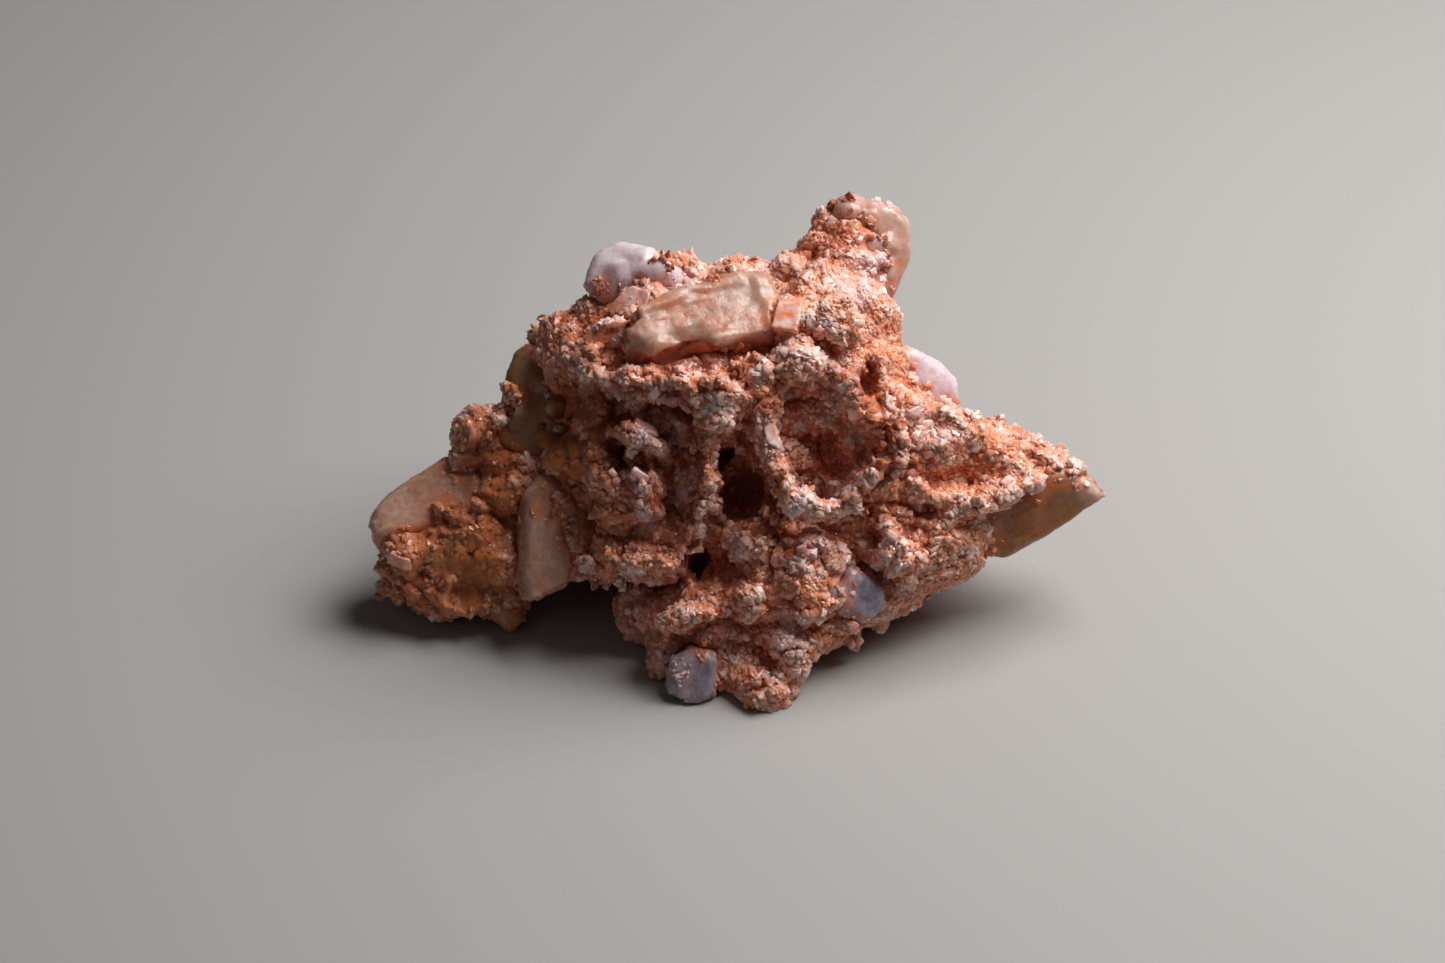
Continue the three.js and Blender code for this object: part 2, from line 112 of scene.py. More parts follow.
# Rusty seams of the display face: width, depth, then places as across and up from its middle. Here
# and in the tables below, all lengths are in millimetres.
SEAMS = (
    (0.3, 0.6, (-9.0, 9.6), (-5.9, 10.1), (-3.7, 11.2), (-1.6, 10.6), (1.6, 10.1)),
    (0.26, 0.5, (-14.9, 12.2), (-12.2, 13.1), (-10.1, 14.6)),
    (0.34, 0.7, (-8.4, 9.2), (-6.2, 8.5), (-4.8, 7.4), (-3.0, 6.7), (-0.8, 6.9)),
    (0.5, 0.8, (-7.0, 6.5), (-4.8, 4.3), (-3.7, 0.5), (-4.0, -4.8), (-4.8, -6.9)),
    (0.42, 0.5, (-10.6, -0.4), (-8.5, -2.7), (-7.8, -4.8), (-8.3, -6.6)),
    (0.42, 0.5, (-13.1, 1.1), (-11.5, -1.8), (-11.2, -4.0)),
    (0.42, 0.5, (-12.6, 3.6), (-9.0, 3.2), (-6.6, 1.6), (-5.6, -1.0)),
    (0.36, 0.4, (-9.4, 0.8), (-6.6, -1.8), (-6.0, -4.6)),
    (0.4, 0.6, (3.7, 5.6), (1.6, 4.3), (0.8, 1.1), (2.7, -0.5)),
    (0.45, 0.7, (2.6, -1.4), (3.9, -2.7), (4.8, -6.9), (4.3, -9.0)),
    (0.7, 1.0, (12.6, 8.0), (14.4, 5.9), (15.7, 1.6), (15.5, -2.4), (13.8, -5.8)),
    (0.3, 0.4, (6.9, 13.3), (10.6, 9.8), (14.0, 5.9)),
    (0.2, 0.2, (15.8, -1.4), (20.7, -0.5)),
    (0.3, 0.5, (5.0, -10.0), (8.0, -9.4), (11.2, -13.3)),
    (0.3, 0.5, (-6.9, -20.7), (-1.6, -17.6), (1.6, -18.4)),
    (0.28, 0.4, (4.6, -15.0), (7.6, -16.4)),
)
# Ridges of the display face: width, height, then places as for the seams.
RIDGES = (
    (1.0, 1.1, (3.4, 4.6), (3.2, 1.6), (4.3, -2.1), (6.9, -5.3), (10.1, -5.9), (13.1, -3.7), (14.4, 0.5),
     (13.8, 4.8), (11.0, 8.0)),
    (0.8, 0.5, (-5.6, 7.6), (-4.0, 5.0), (-2.9, 1.6), (-3.0, -3.0), (-4.0, -6.0)),
    (0.7, 0.3, (-12.4, 2.6), (-9.6, 2.2), (-7.6, 0.0)),
    (0.7, 0.3, (-12.6, -0.4), (-9.8, -2.2), (-9.2, -4.6)),
    (0.6, 0.3, (2.6, 18.4), (3.2, 15.0), (3.6, 12.0)),
    (0.5, 0.35, (-9.6, 15.2), (-5.0, 17.0), (0.6, 18.4)),
    (1.4, 0.9, (-15.4, 1.1), (-20.7, -2.1), (-27.0, -5.3)),
)
# Round patches of the display face: across, up, width, strength. Stain is rusty, honey amber, pale is
# lighter, bare has hardly a grain, frost is lilac white, open lies sunken and bare, and lift is raised.
PATCHES = {
    "stain": (
        (2.7, -23.9, 1.6, 0.9), (-2.1, 18.1, 1.0, 1.0), (-2.2, -0.8, 2.2, 0.7), (6.4, -7.1, 1.0, 0.7),
        (13.3, -8.0, 1.3, 0.6), (11.5, 23.0, 3.6, 0.85), (12.0, 10.4, 4.2, 0.25), (-14.5, 3.0, 3.0, 0.5),
        (-9.0, 6.0, 2.6, 0.55), (-17.5, 12.6, 3.6, 0.5), (-9.5, 17.4, 2.2, 0.6), (8.5, -10.5, 1.6, 0.8),
        (-6.5, -18.5, 2.4, 0.6), (6.5, 3.0, 2.4, 0.4), (-33.0, -13.4, 1.8, 0.7),
        (-29.0, -14.6, 2.0, 0.8), (-25.0, -9.6, 1.4, 0.6), (-3.4, -20.4, 1.6, 0.9),
        (32.5, -6.4, 3.6, 0.45), (-14.0, 17.3, 1.9, 1.1), (-33.3, -7.8, 1.3, 0.9), (-31.0, -6.8, 1.5, 0.9),
        (-29.0, -5.8, 1.7, 0.9), (-35.6, -9.2, 1.1, 0.8),
    ),
    "honey": (
        (-17.5, 1.5, 5.0, 1.0), (-15.0, -6.5, 3.6, 0.8), (-30.0, -12.0, 9.0, 0.85), (-24.0, -5.0, 5.0, 0.9),
        (-21.0, 12.5, 3.0, 0.5), (-23.0, -18.0, 4.0, 0.7), (-27.5, 1.0, 3.6, 0.8),
    ),
    # Pale: paler crystals, and painted light on the shoulder and at (8.5, 13.8) on the upper right middle.
    "pale": (
        (-9.0, 20.5, 3.2, 1.0), (-6.0, 8.2, 3.6, 0.8), (-0.6, 5.6, 3.4, 0.8), (-10.6, -1.0, 2.8, 0.8),
        (3.9, 1.0, 1.8, 0.9), (6.0, -4.6, 2.0, 0.8), (12.0, -3.0, 2.4, 0.7), (23.5, 3.6, 4.2, 0.3),
        (31.0, -1.6, 3.4, 0.45), (5.0, -12.0, 3.0, 0.3), (14.8, 19.5, 2.2, 1.0),
        (-25.0, 5.6, 2.4, 0.5), (10.0, 4.6, 3.0, 0.6), (8.5, 13.8, 4.5, 0.8),
        (16.6, 24.0, 3.4, 1.0), (-35.0, -7.6, 3.4, 0.6), (2.4, 17.4, 2.8, 0.8),
        (-12.6, 20.6, 2.4, 0.9), (-19.4, -8.5, 3.4, 0.8),
    ),
    "bare": (
        (0.8, -4.0, 3.1, 1.0), (-1.1, -0.5, 1.8, 1.0), (2.6, -5.8, 2.0, 1.0), (-3.7, -11.4, 1.8, 1.0),
        (6.9, -7.4, 0.7, 1.0), (14.0, -8.5, 0.9, 1.0),
    ),
    # Frost: glassy lilac-white crystals, and painted highlights on the nodule's petals, the ring's rim and
    # the arm.
    "frost": (
        (-9.0, 2.0, 1.3, 0.8), (-6.8, 1.4, 1.2, 0.8), (-10.2, -1.6, 1.4, 1.0), (-5.5, -4.2, 1.1, 1.0),
        (-9.4, -6.6, 1.0, 0.8), (-3.7, -7.8, 1.0, 1.0), (20.0, 2.5, 1.9, 0.6), (14.8, 20.0, 2.2, 0.8),
        (13.0, 17.4, 2.0, 0.6), (2.9, 3.0, 1.2, 0.7), (6.8, -5.2, 1.1, 0.8), (8.0, -9.6, 1.1, 0.8),
        (0.6, -9.2, 1.2, 0.6), (6.0, -19.0, 1.4, 0.7), (-6.2, -21.6, 1.5, 1.0), (-5.6, -23.6, 1.5, 1.0),
        (-5.0, -25.6, 1.5, 0.9), (37.6, -3.4, 1.4, 0.7), (-5.0, 18.6, 1.6, 0.6),
        (10.8, 27.2, 0.9, 0.9), (12.8, 27.6, 0.9, 0.9), (15.0, 27.6, 0.9, 0.9), (17.0, 26.8, 0.9, 0.9),
        (18.8, 25.0, 0.7, 0.8), (19.2, 22.6, 0.6, 0.7),
    ),
    "open": (
        (10.2, 26.8, 1.4, 1.0), (12.4, 26.2, 1.5, 1.2), (14.4, 25.2, 1.6, 1.3), (15.8, 22.6, 1.3, 1.1),
        (16.5, 20.0, 1.0, 0.9), (14.2, 22.6, 1.3, 1.2),
        (-10.1, 20.0, 1.5, 1.3), (-8.6, 19.3, 1.4, 1.4), (-6.8, 18.6, 1.2, 1.2), (-11.8, 19.2, 1.4, 1.1),
        (-20.6, 8.2, 1.2, 0.9), (-18.9, 5.2, 1.9, 2.1), (-18.6, 2.8, 1.7, 2.1),
        (-17.3, -5.6, 1.5, 0.4), (10.3, -14.4, 1.3, 0.8), (-23.6, 4.4, 1.4, 1.0),
    ),
    "lift": (
        (14.6, 2.8, 1.1, 1.5), (14.7, 1.2, 1.1, 1.7), (14.7, -0.4, 1.1, 1.7), (14.3, -1.9, 1.0, 1.0),
        (18.6, 1.8, 1.5, 1.0), (18.8, -0.6, 1.5, 1.0), (20.8, 0.6, 1.6, 0.8),
    ),
}
# Dents of the display face: across, up, width, depth. A depth below 0 is a rise.
DENTS = (
    (-1.1, -0.5, 1.3, 1.1),
    (-3.7, -11.0, 1.3, 1.3),
    (6.9, -7.4, 0.7, 0.8),
    (14.0, -8.5, 0.9, 0.8),
    (8.8, 0.8, 3.4, 0.9),
    (8.5, 12.8, 1.5, -0.9),
    (12.8, 8.5, 1.1, -0.9),
    (14.6, 1.4, 1.0, -0.8),
    (-4.6, 11.2, 1.8, 1.2),
    (-8.6, 10.6, 1.4, -0.4),
    (-1.6, 11.4, 1.4, -0.5),
    (-8.6, 19.6, 1.8, -0.6),
    (0.8, -3.8, 2.5, 2.2),
    (-28.1, -10.2, 1.3, -1.3),
    (-33.0, -12.6, 1.8, -0.5),
    (-31.0, -16.0, 1.2, 0.6),
    (-25.5, -12.5, 1.6, -0.5),
    (-36.0, -16.0, 1.4, 0.5),
    (-33.0, -13.6, 1.5, 0.9),
    (-29.0, -14.6, 1.7, 1.0),
)
# Single larger crystals laid into the crust: across, up, length, width, turn in degrees from level.
SEATED = (
    (-12.6, 13.0, 5.4, 1.5, 25), (-10.1, 16.5, 5.6, 2.8, 38), (-8.2, 15.0, 3.2, 1.8, 20),
    (5.6, 15.2, 4.2, 2.4, 82), (13.1, 4.6, 2.4, 1.7, 20), (3.5, 2.7, 3.0, 1.3, 105),
    (-24.8, 2.4, 6.0, 0.9, 55), (-6.2, 19.4, 3.0, 1.8, -20), (-35.1, -11.4, 2.6, 1.2, -20),
    (-9.3, -2.4, 2.8, 0.9, -38), (-5.5, -4.1, 2.6, 1.1, -70), (-8.8, 2.2, 3.4, 1.2, -20),
)

# How far a seated crystal stands out, in millimetres, and the spacing of its surface mesh.
SEATED_RISE = 0.62
SEATED_GRID = 0.18 * MM
# How lines over the display face wander, in millimetres: the size of a bend and how far it reaches.
WANDER_SIZE = 1.6
WANDER_REACH = 0.35

# The crust's bed: its crumbs' widths and heights, how far its cells are bent, how far its pockets rise
# towards the large crystals, and how deep an open patch lies.
CRUMBS = ((2.2 * MM, 0.32 * MM), (1.1 * MM, 0.2 * MM))
BEND_REACH = 1.6 * MM
POCKET_RISE = 0.4 * MM
OPEN_DEPTH = 2.2 * MM
# A small crystal's block is this long, with a height of one above the ground.
CRYSTAL_LENGTH = 1.45
GRAIN_FORMS = 7
# Two distances across, in metres, that the whole specimen lies between.
EVERYWHERE = (-1, 1)

# The lights, from the specimen's middle, and the camera, which aims beside the display face's middle.
KEY_OFFSET, KEY_SIZE = Vector((0.165, 0.05, 0.265)), 0.24
FILL_OFFSET, FILL_SIZE = Vector((-0.5, -0.5, 0.5)), 0.6
LAMP_COLOUR = (1, 0.98, 0.96)
SENSOR_WIDTH, LENS = 36, 105.4
AIM_ACROSS, AIM_UP = -1.33, -2.82


def measure(name, description, default, least=0.0):
    """A length that a user may change."""
    return bpy.props.FloatProperty(
        name=name, description=description, default=default, min=least, unit="LENGTH", precision=5)


def pigment(name, description, default):
    """A colour that a user may change."""
    return bpy.props.FloatVectorProperty(
        name=name, description=description, default=default, size=3, min=0, max=1, subtype="COLOR")


class DruseSettings(bpy.types.PropertyGroup):
    """Sizes and colours of the crust of small crystals."""

    grid: measure("Grid", "Spacing of the crust's surface mesh", 0.44 * MM, 0.3 * MM)
    inset: measure("Inset", "How far the crust's bed lies below the crystals' tips", 0.2 * MM)
    lump_height: measure("Lump height", "How far lumps of the bed rise", 0.35 * MM)
    lump_spacing: measure("Lump spacing", "Distance from one lump of the bed to the next", 3.4 * MM)
    cleft_depth: measure("Cleft depth", "Depth of the clefts between clusters of crystals", 0.6 * MM)
    cluster_size: measure("Cluster size", "Width of a cluster of crystals between its clefts", 4.6 * MM)
    grain_size: measure("Grain size", "Width of a usual grain of the crust", 0.64 * MM)
    grain_spacing: measure("Grain spacing", "Smallest distance between two grains' middles", 0.31 * MM)
    crystal_size: measure("Crystal size", "Height of a usual crystal on the crust's crests", 0.78 * MM)
    crystal_spacing: measure(
        "Crystal spacing", "Smallest distance between two such crystals' feet", 0.55 * MM)
    crystal_tilt: bpy.props.FloatProperty(
        name="Crystal tilt", description="How far such a crystal may lean from the surface's normal",
        default=math.radians(48), subtype="ANGLE")
    # Tip and root colours run along each crystal: partly its own colour, partly painted light on the tip
    # and painted shade at the root.
    tip: pigment("Tip", "Colour of the crystals' pale tips", (0.95, 0.635, 0.57))
    salmon: pigment("Salmon", "Usual colour of the crystals", (0.90, 0.42, 0.295))
    root: pigment("Root", "Deep orange at the crystals' roots", (0.77, 0.235, 0.10))
    # Rust also serves as painted shade in the crust's clefts and hollows.
    rust_and_shade: pigment("Rust", "Iron stain in the seams and clefts", (0.44, 0.085, 0.02))
    honey: pigment("Honey", "Amber stain of the left side", (0.50, 0.155, 0.028))
    # The hole colour is painted shade: a dark purplish brown on the bare floors of the holes and pits.
    hole: pigment("Hole", "Purplish brown of the smooth floor of the hole", (0.26, 0.10, 0.075))
    shade: pigment("Shade", "Brown of the deep places between the crystals", (0.36, 0.085, 0.03))
    # Frost is partly painted highlight on the crests that it whitens.
    frost: pigment("Frost", "Lilac white of the glassy crystals on some crests", (0.88, 0.66, 0.68))
    clear: pigment("Clear", "Colour of the few nearly clear crystals", (0.96, 0.735, 0.69))


class CrystalSettings(bpy.types.PropertyGroup):
    """Sizes and colours of the large milky crystals."""

    grid: measure("Grid", "Spacing of a large crystal's surface mesh", 0.3 * MM, 0.2 * MM)
    growth: measure("Growth lines", "Height of the growth lines along a large crystal", 0.16 * MM)
    unevenness: measure("Unevenness", "How far a large crystal's faces wander", 0.35 * MM)
    tan: pigment("Tan", "Colour of the tan crystals", (0.35, 0.178, 0.118))
    lavender: pigment("Lavender", "Colour of the cool, greyish crystals", (0.70, 0.58, 0.63))
    # Slate and olive are darker copies of lavender and tan: partly the crystals' own duller colour, partly
    # painted shade.
    slate: pigment("Slate", "Colour of the darker greyish crystals near the floor", (0.19, 0.18, 0.245))
    olive: pigment("Olive", "Colour of the dull crystals of the left side and the tip", (0.25, 0.115, 0.04))
    frost: pigment("Frost", "Pale colour of the greyish crystals' edges and clouds", (0.84, 0.73, 0.78))
    edge: pigment("Edge", "Pale colour of the tan crystals' worn edges and clouds", (0.56, 0.375, 0.30))


class StageSettings(bpy.types.PropertyGroup):
    """The floor, the lights and the camera."""

    floor: pigment("Floor", "Colour of the floor", (0.38, 0.37, 0.36))
    sky: pigment("Sky", "Colour of the light from all round", (0.88, 0.93, 1.0))
    sky_strength: bpy.props.FloatProperty(
        name="Sky strength", description="Strength of the light from all round", default=0.035, min=0)
    key_power: bpy.props.FloatProperty(
        name="Key light", description="Power of the soft light from the upper right",
        default=1.7, unit="POWER")
    fill_power: bpy.props.FloatProperty(
        name="Fill light", description="Power of the soft light from the left",
        default=0.15, unit="POWER")
    distance: measure("Camera distance", "Distance from the camera to the specimen", 0.45)


# ---- node trees ----
def feed(tree, socket, value):
    """Links a socket to an output, or sets it to a plain value. None leaves it as it is."""
    if isinstance(value, bpy.types.NodeSocket):
        tree.links.new(value, socket)
    elif value is not None:
        socket.default_value = value


def place_node(tree, kind, *values, **settings):
    """Adds a node, sets it up and feeds its sockets in order."""
    node = tree.nodes.new(kind)
    for name, value in settings.items():
        setattr(node, name, value)
    sockets = [s for s in node.inputs if s.enabled]
    for socket, value in zip(sockets, values):
        feed(tree, socket, value)
    return node


def result(node, name=None):
    """A node's first output that is in use, or the one of that name."""
    outputs = [s for s in node.outputs if s.enabled]
    return outputs[0] if name is None else next(s for s in outputs if s.name == name)


def made(tree, kind, *values, **settings):
    """Adds a node and gives its first output."""
    return result(place_node(tree, kind, *values, **settings))


def calculate(tree, operation, *values, clamp=False):
    return made(tree, "ShaderNodeMath", *values, operation=operation, use_clamp=clamp)


def times(tree, first, second, clamp=False):
    return calculate(tree, "MULTIPLY", first, second, clamp=clamp)


def add_times(tree, value, factor, base):
    """A value times a factor, added to a base."""
    return calculate(tree, "MULTIPLY_ADD", value, factor, base)


def minus(tree, first, second):
    return calculate(tree, "SUBTRACT", first, second)


def centred(tree, noise_value):
    """Noise from 0 to 1, shifted so that its middle is 0."""
    return minus(tree, noise_value, 0.5)


def largest(tree, *values):
    found = values[0]
    for value in values[1:]:
        found = calculate(tree, "MAXIMUM", found, value)
    return found


def ramp(tree, value, low, high, to_low=0.0, to_high=1.0):
    """Maps a value smoothly from one range to another."""
    return made(
        tree, "ShaderNodeMapRange", value, low, high, to_low, to_high, interpolation_type="SMOOTHSTEP")


def combine(tree, operation, *vectors):
    return made(tree, "ShaderNodeVectorMath", *vectors, operation=operation)


def dot(tree, first, second):
    return result(place_node(tree, "ShaderNodeVectorMath", first, second, operation="DOT_PRODUCT"), "Value")


def stretch(tree, vector, factor):
    """A vector times a number."""
    node = place_node(tree, "ShaderNodeVectorMath", vector, operation="SCALE")
    feed(tree, node.inputs["Scale"], factor)
    return result(node)


def blend(tree, factor, first, second, blend_type="MIX"):
    """Mixes two colours. Each is another node's output or a setting."""
    first, second = [c if isinstance(c, bpy.types.NodeSocket) else (*c, 1.0) for c in (first, second)]
    return made(tree, "ShaderNodeMix", factor, first, second, data_type="RGBA", blend_type=blend_type)


def noise(tree, vector, size, detail=2.0, roughness=0.5, distortion=0.0, output=None):
    """Noise whose features measure about the given size."""
    node = place_node(tree, "ShaderNodeTexNoise", vector, 1 / size, detail, roughness, 2.0, distortion)
    return result(node, output)


def cells(tree, vector, size, feature="F1"):
    """The distance into cells of about the given size."""
    return made(tree, "ShaderNodeTexVoronoi", vector, 1 / size, feature=feature)


def geometry_tree(name):
    """A geometry node tree with one geometry in and one out, and those two nodes' sockets."""
    tree = bpy.data.node_groups.new(name, "GeometryNodeTree")
    tree.interface.new_socket("Geometry", in_out="INPUT", socket_type="NodeSocketGeometry")
    tree.interface.new_socket("Geometry", in_out="OUTPUT", socket_type="NodeSocketGeometry")
    start = tree.nodes.new("NodeGroupInput").outputs[0]
    end = tree.nodes.new("NodeGroupOutput").inputs[0]
    return tree, start, end


def place_of(tree):
    return made(tree, "GeometryNodeInputPosition")


def normal_of(tree):
    return made(tree, "GeometryNodeInputNormal")


def named(tree, name, kind="FLOAT"):
    return made(tree, "GeometryNodeInputNamedAttribute", name, data_type=kind)


def store(tree, geometry, name, value, kind="FLOAT"):
    return made(
        tree, "GeometryNodeStoreNamedAttribute", geometry, None, name, value, data_type=kind,
        domain="POINT")


def put(tree, geometry, place=None, offset=None):
    """Puts every corner at a place, or moves it by an offset."""
    return made(tree, "GeometryNodeSetPosition", geometry, None, place, offset)


def nudge(tree, geometry, distance):
    """Moves every corner along its normal."""
    return put(tree, geometry, offset=stretch(tree, normal_of(tree), distance))


def evened(tree, place, rounds):
    """Each corner's place, averaged with its neighbours' places in rounds."""
    return made(tree, "GeometryNodeBlurAttribute", place, rounds, data_type="FLOAT_VECTOR")


def standing_out(tree, place, normal, rounds):
    """How far each corner stands out from the surface around it, in millimetres."""
    above = combine(tree, "SUBTRACT", place, evened(tree, place, rounds))
    return calculate(tree, "DIVIDE", dot(tree, above, normal), MM)


def above_floor(tree, geometry, height):
    """Presses what hangs below a height flat against it."""
    x, y, z = place_node(tree, "ShaderNodeSeparateXYZ", place_of(tree)).outputs
    flat = made(tree, "ShaderNodeCombineXYZ", x, y, calculate(tree, "MAXIMUM", z, height))
    return put(tree, geometry, flat)


# ---- meshes ----
def shown(name, mesh):
    piece = bpy.data.objects.new(name, mesh)
    bpy.context.scene.collection.objects.link(piece)
    return piece


def solid_of(node):
    """A CAD node's mesh."""
    return frame["nodes"][node].data


def form_of(meshes):
    """A bmesh with the faces of several meshes."""
    form = bmesh.new()
    for mesh in meshes:
        form.from_mesh(mesh)
    return form


def mesh_from(form, name):
    mesh = bpy.data.meshes.new(name)
    form.to_mesh(mesh)
    form.free()
    return mesh


def joined_copy(node):
    """A CAD node's mesh with its corners joined."""
    form = form_of([solid_of(node)])
    bmesh.ops.remove_doubles(form, verts=form.verts, dist=0.001 * MM)
    return mesh_from(form, node)


def search_tree(meshes):
    """A search tree over several meshes' surfaces."""
    form = form_of(meshes)
    found = BVHTree.FromBMesh(form)
    form.free()
    return found


def regrid(piece, spacing):
    modifier = piece.modifiers.new("Regrid", "REMESH")
    modifier.mode = "VOXEL"
    modifier.voxel_size = spacing


def shape_by(piece, tree):
    """Adds a geometry node tree to a piece's modifiers, and gives the piece the mesh that they make."""
    piece.modifiers.new(tree.name, "NODES").node_group = tree
    graph = bpy.context.evaluated_depsgraph_get()
    mesh = bpy.data.meshes.new_from_object(piece.evaluated_get(graph))
    old = piece.data
    piece.modifiers.clear()
    piece.data = mesh
    bpy.data.meshes.remove(old)
    mesh.name = piece.name


def finish(piece, material, smooth=True):
    """Gives a piece its shading and its one material."""
    (piece.data.shade_smooth if smooth else piece.data.shade_flat)()
    piece.data.materials.clear()
    piece.data.materials.append(material)


def corners_of(mesh, what="co"):
    """The corners' places or normals as rows of numbers."""
    values = np.empty(len(mesh.vertices) * 3, np.float32)
    source = mesh.vertices if what == "co" else mesh.vertex_normals
    source.foreach_get("co" if what == "co" else "vector", values)
    return values.reshape(-1, 3).astype(float)


def add_attribute(mesh, name, values, kind="FLOAT"):
    attribute = mesh.attributes.new(name, kind, "POINT")
    values = np.asarray(values, np.float32)
    attribute.data.foreach_set("value" if kind == "FLOAT" else "vector", values.ravel())


def add_even_attributes(mesh, **values):
    """Writes attributes that have one value all over a mesh."""
    for name, value in values.items():
        add_attribute(mesh, name, np.full(len(mesh.vertices), float(value)))


def attribute_of(mesh, name):
    values = np.zeros(len(mesh.vertices), np.float32)
    mesh.attributes[name].data.foreach_get("value", values)
    return values


# ---- the display face ----
def on_face(places):
    """Across and up on the display face, in millimetres, of places in metres."""
    rows = places / MM - np.array(FACE_MIDDLE)
    rise, lean = math.sin(FACE_RISE), math.cos(FACE_RISE)
    return rows[:, 0], rows[:, 1] * rise + rows[:, 2] * lean


def facing(normals):
    """From 0 for a surface that faces away from the viewer of the display face, to 1."""
    toward = normals @ np.array((0, -math.cos(FACE_RISE), math.sin(FACE_RISE)))
    return np.clip(4 * toward + 0.6, 0, 1)


def seam_profile(across, up, width, places):
    """From 1 on a line through places to 0 a few widths away from it."""
    nearest = np.full(len(across), 1e6)
    for (ax, ay), (bx, by) in zip(places, places[1:]):
        along = (across - ax) * (bx - ax) + (up - ay) * (by - ay)
        share = np.clip(along / ((bx - ax) ** 2 + (by - ay) ** 2), 0, 1)
        gap = np.hypot(across - ax - share * (bx - ax), up - ay - share * (by - ay))
        nearest = np.minimum(nearest, gap)
    return np.exp(-((nearest / width) ** 2))


def spot_profile(across, up, spot_across, spot_up, width):
    """From 1 at a spot to 0 a few widths away from it."""
    return np.exp(-((np.hypot(across - spot_across, up - spot_up) / width) ** 2))


def wander(places, size, reach):
    """Smooth wandering of places, so that a line over them isn't straight."""
    scaled = places / size
    first = np.sin(scaled[:, 0] * 2.1 + 1.7 * np.sin(scaled[:, 1] * 1.3 + scaled[:, 2]))
    second = np.sin(scaled[:, 1] * 2.3 + 1.9 * np.sin(scaled[:, 2] * 1.1 - scaled[:, 0]))
    return reach * first, reach * second


def mark_face(mesh):
    """Writes where the seams, ridges, patches and dents of the display face lie."""
    places = corners_of(mesh)
    across, up = on_face(places)
    aside, above = wander(places / MM, WANDER_SIZE, WANDER_REACH)
    across, up = across + aside, up + above
    front = facing(corners_of(mesh, "normal"))
    sheets = {name: np.zeros(len(across)) for name in ("seam", "groove", *PATCHES)}
    for width, depth, *line in SEAMS:
        profile = seam_profile(across, up, 1.25 * width, line) * front
        halo = 0.7 * seam_profile(across, up, 3 * width, line) * front
        np.maximum(sheets["seam"], profile, out=sheets["seam"])
        np.maximum(sheets["groove"], depth * MM * profile, out=sheets["groove"])
        np.maximum(sheets["stain"], halo, out=sheets["stain"])
    for width, height, *line in RIDGES:
        sheets["groove"] -= height * MM * seam_profile(across, up, width, line) * front
    for name, spots in PATCHES.items():
        for *spot, strength in spots:
            share = strength * spot_profile(across, up, *spot) * (1 if name == "honey" else front)
            np.maximum(sheets[name], share, out=sheets[name])
    for *spot, depth in DENTS:
        sheets["groove"] += depth * MM * spot_profile(across, up, *spot) * front
    for name, values in sheets.items():
        add_attribute(mesh, name, values)


def mark_neighbours(mesh, neighbours, reach, close):
    """Writes the gap in millimetres to a neighbour within reach, and 1 where one lies close in front."""
    places, normals = corners_of(mesh), corners_of(mesh, "normal")
    beside, pocket = np.full(len(places), 10.0), np.zeros(len(places))
    for i, (place, normal) in enumerate(zip(places, normals)):
        spot, _, _, gap = neighbours.find_nearest(place, reach)
        if spot is None:
            continue
        beside[i] = gap / MM
        toward = (spot - Vector(place)).normalized().dot(Vector(normal))
        pocket[i] = float(gap < close and toward > 0.5)
    add_attribute(mesh, "beside", beside)
    add_attribute(mesh, "pocket", pocket)


def mark_growth(mesh):
    """Writes each corner's place along a large crystal's own axes, and the share of its rough ends."""
    places = corners_of(mesh)
    rows = (places - places.mean(0)) / MM
    _, axes = np.linalg.eigh(rows.T @ rows)
    grown = rows @ axes[:, ::-1]
    reach = np.abs(grown[:, 0]) / np.abs(grown[:, 0]).max()
    add_attribute(mesh, "end", np.clip(6 * (reach - 0.83), 0, 1))
    add_attribute(mesh, "grown", grown, "FLOAT_VECTOR")


def mark_fringe(mesh):
    """Writes the share of grains on a large crystal: beside the crust, and where frosted or stained."""
    beside, opened = attribute_of(mesh, "beside"), attribute_of(mesh, "open")
    grown_over = np.maximum(attribute_of(mesh, "frost"), attribute_of(mesh, "stain"))
    edging = np.interp(beside, (0.3, 1.3), (0.9, 0.0)) * np.interp(opened, (0.1, 0.4), (1.0, 0.0))
    add_attribute(mesh, "fringe", np.maximum(edging, np.interp(grown_over, (0.4, 0.8), (0.0, 0.75))))


# ---- forms ----
def smooth_tree(name, rounds):
    """Evens out a surface by moving each corner to the middle of its neighbours."""
    tree, start, end = geometry_tree(name)
    tree.links.new(put(tree, start, evened(tree, place_of(tree), rounds)), end)
    return tree


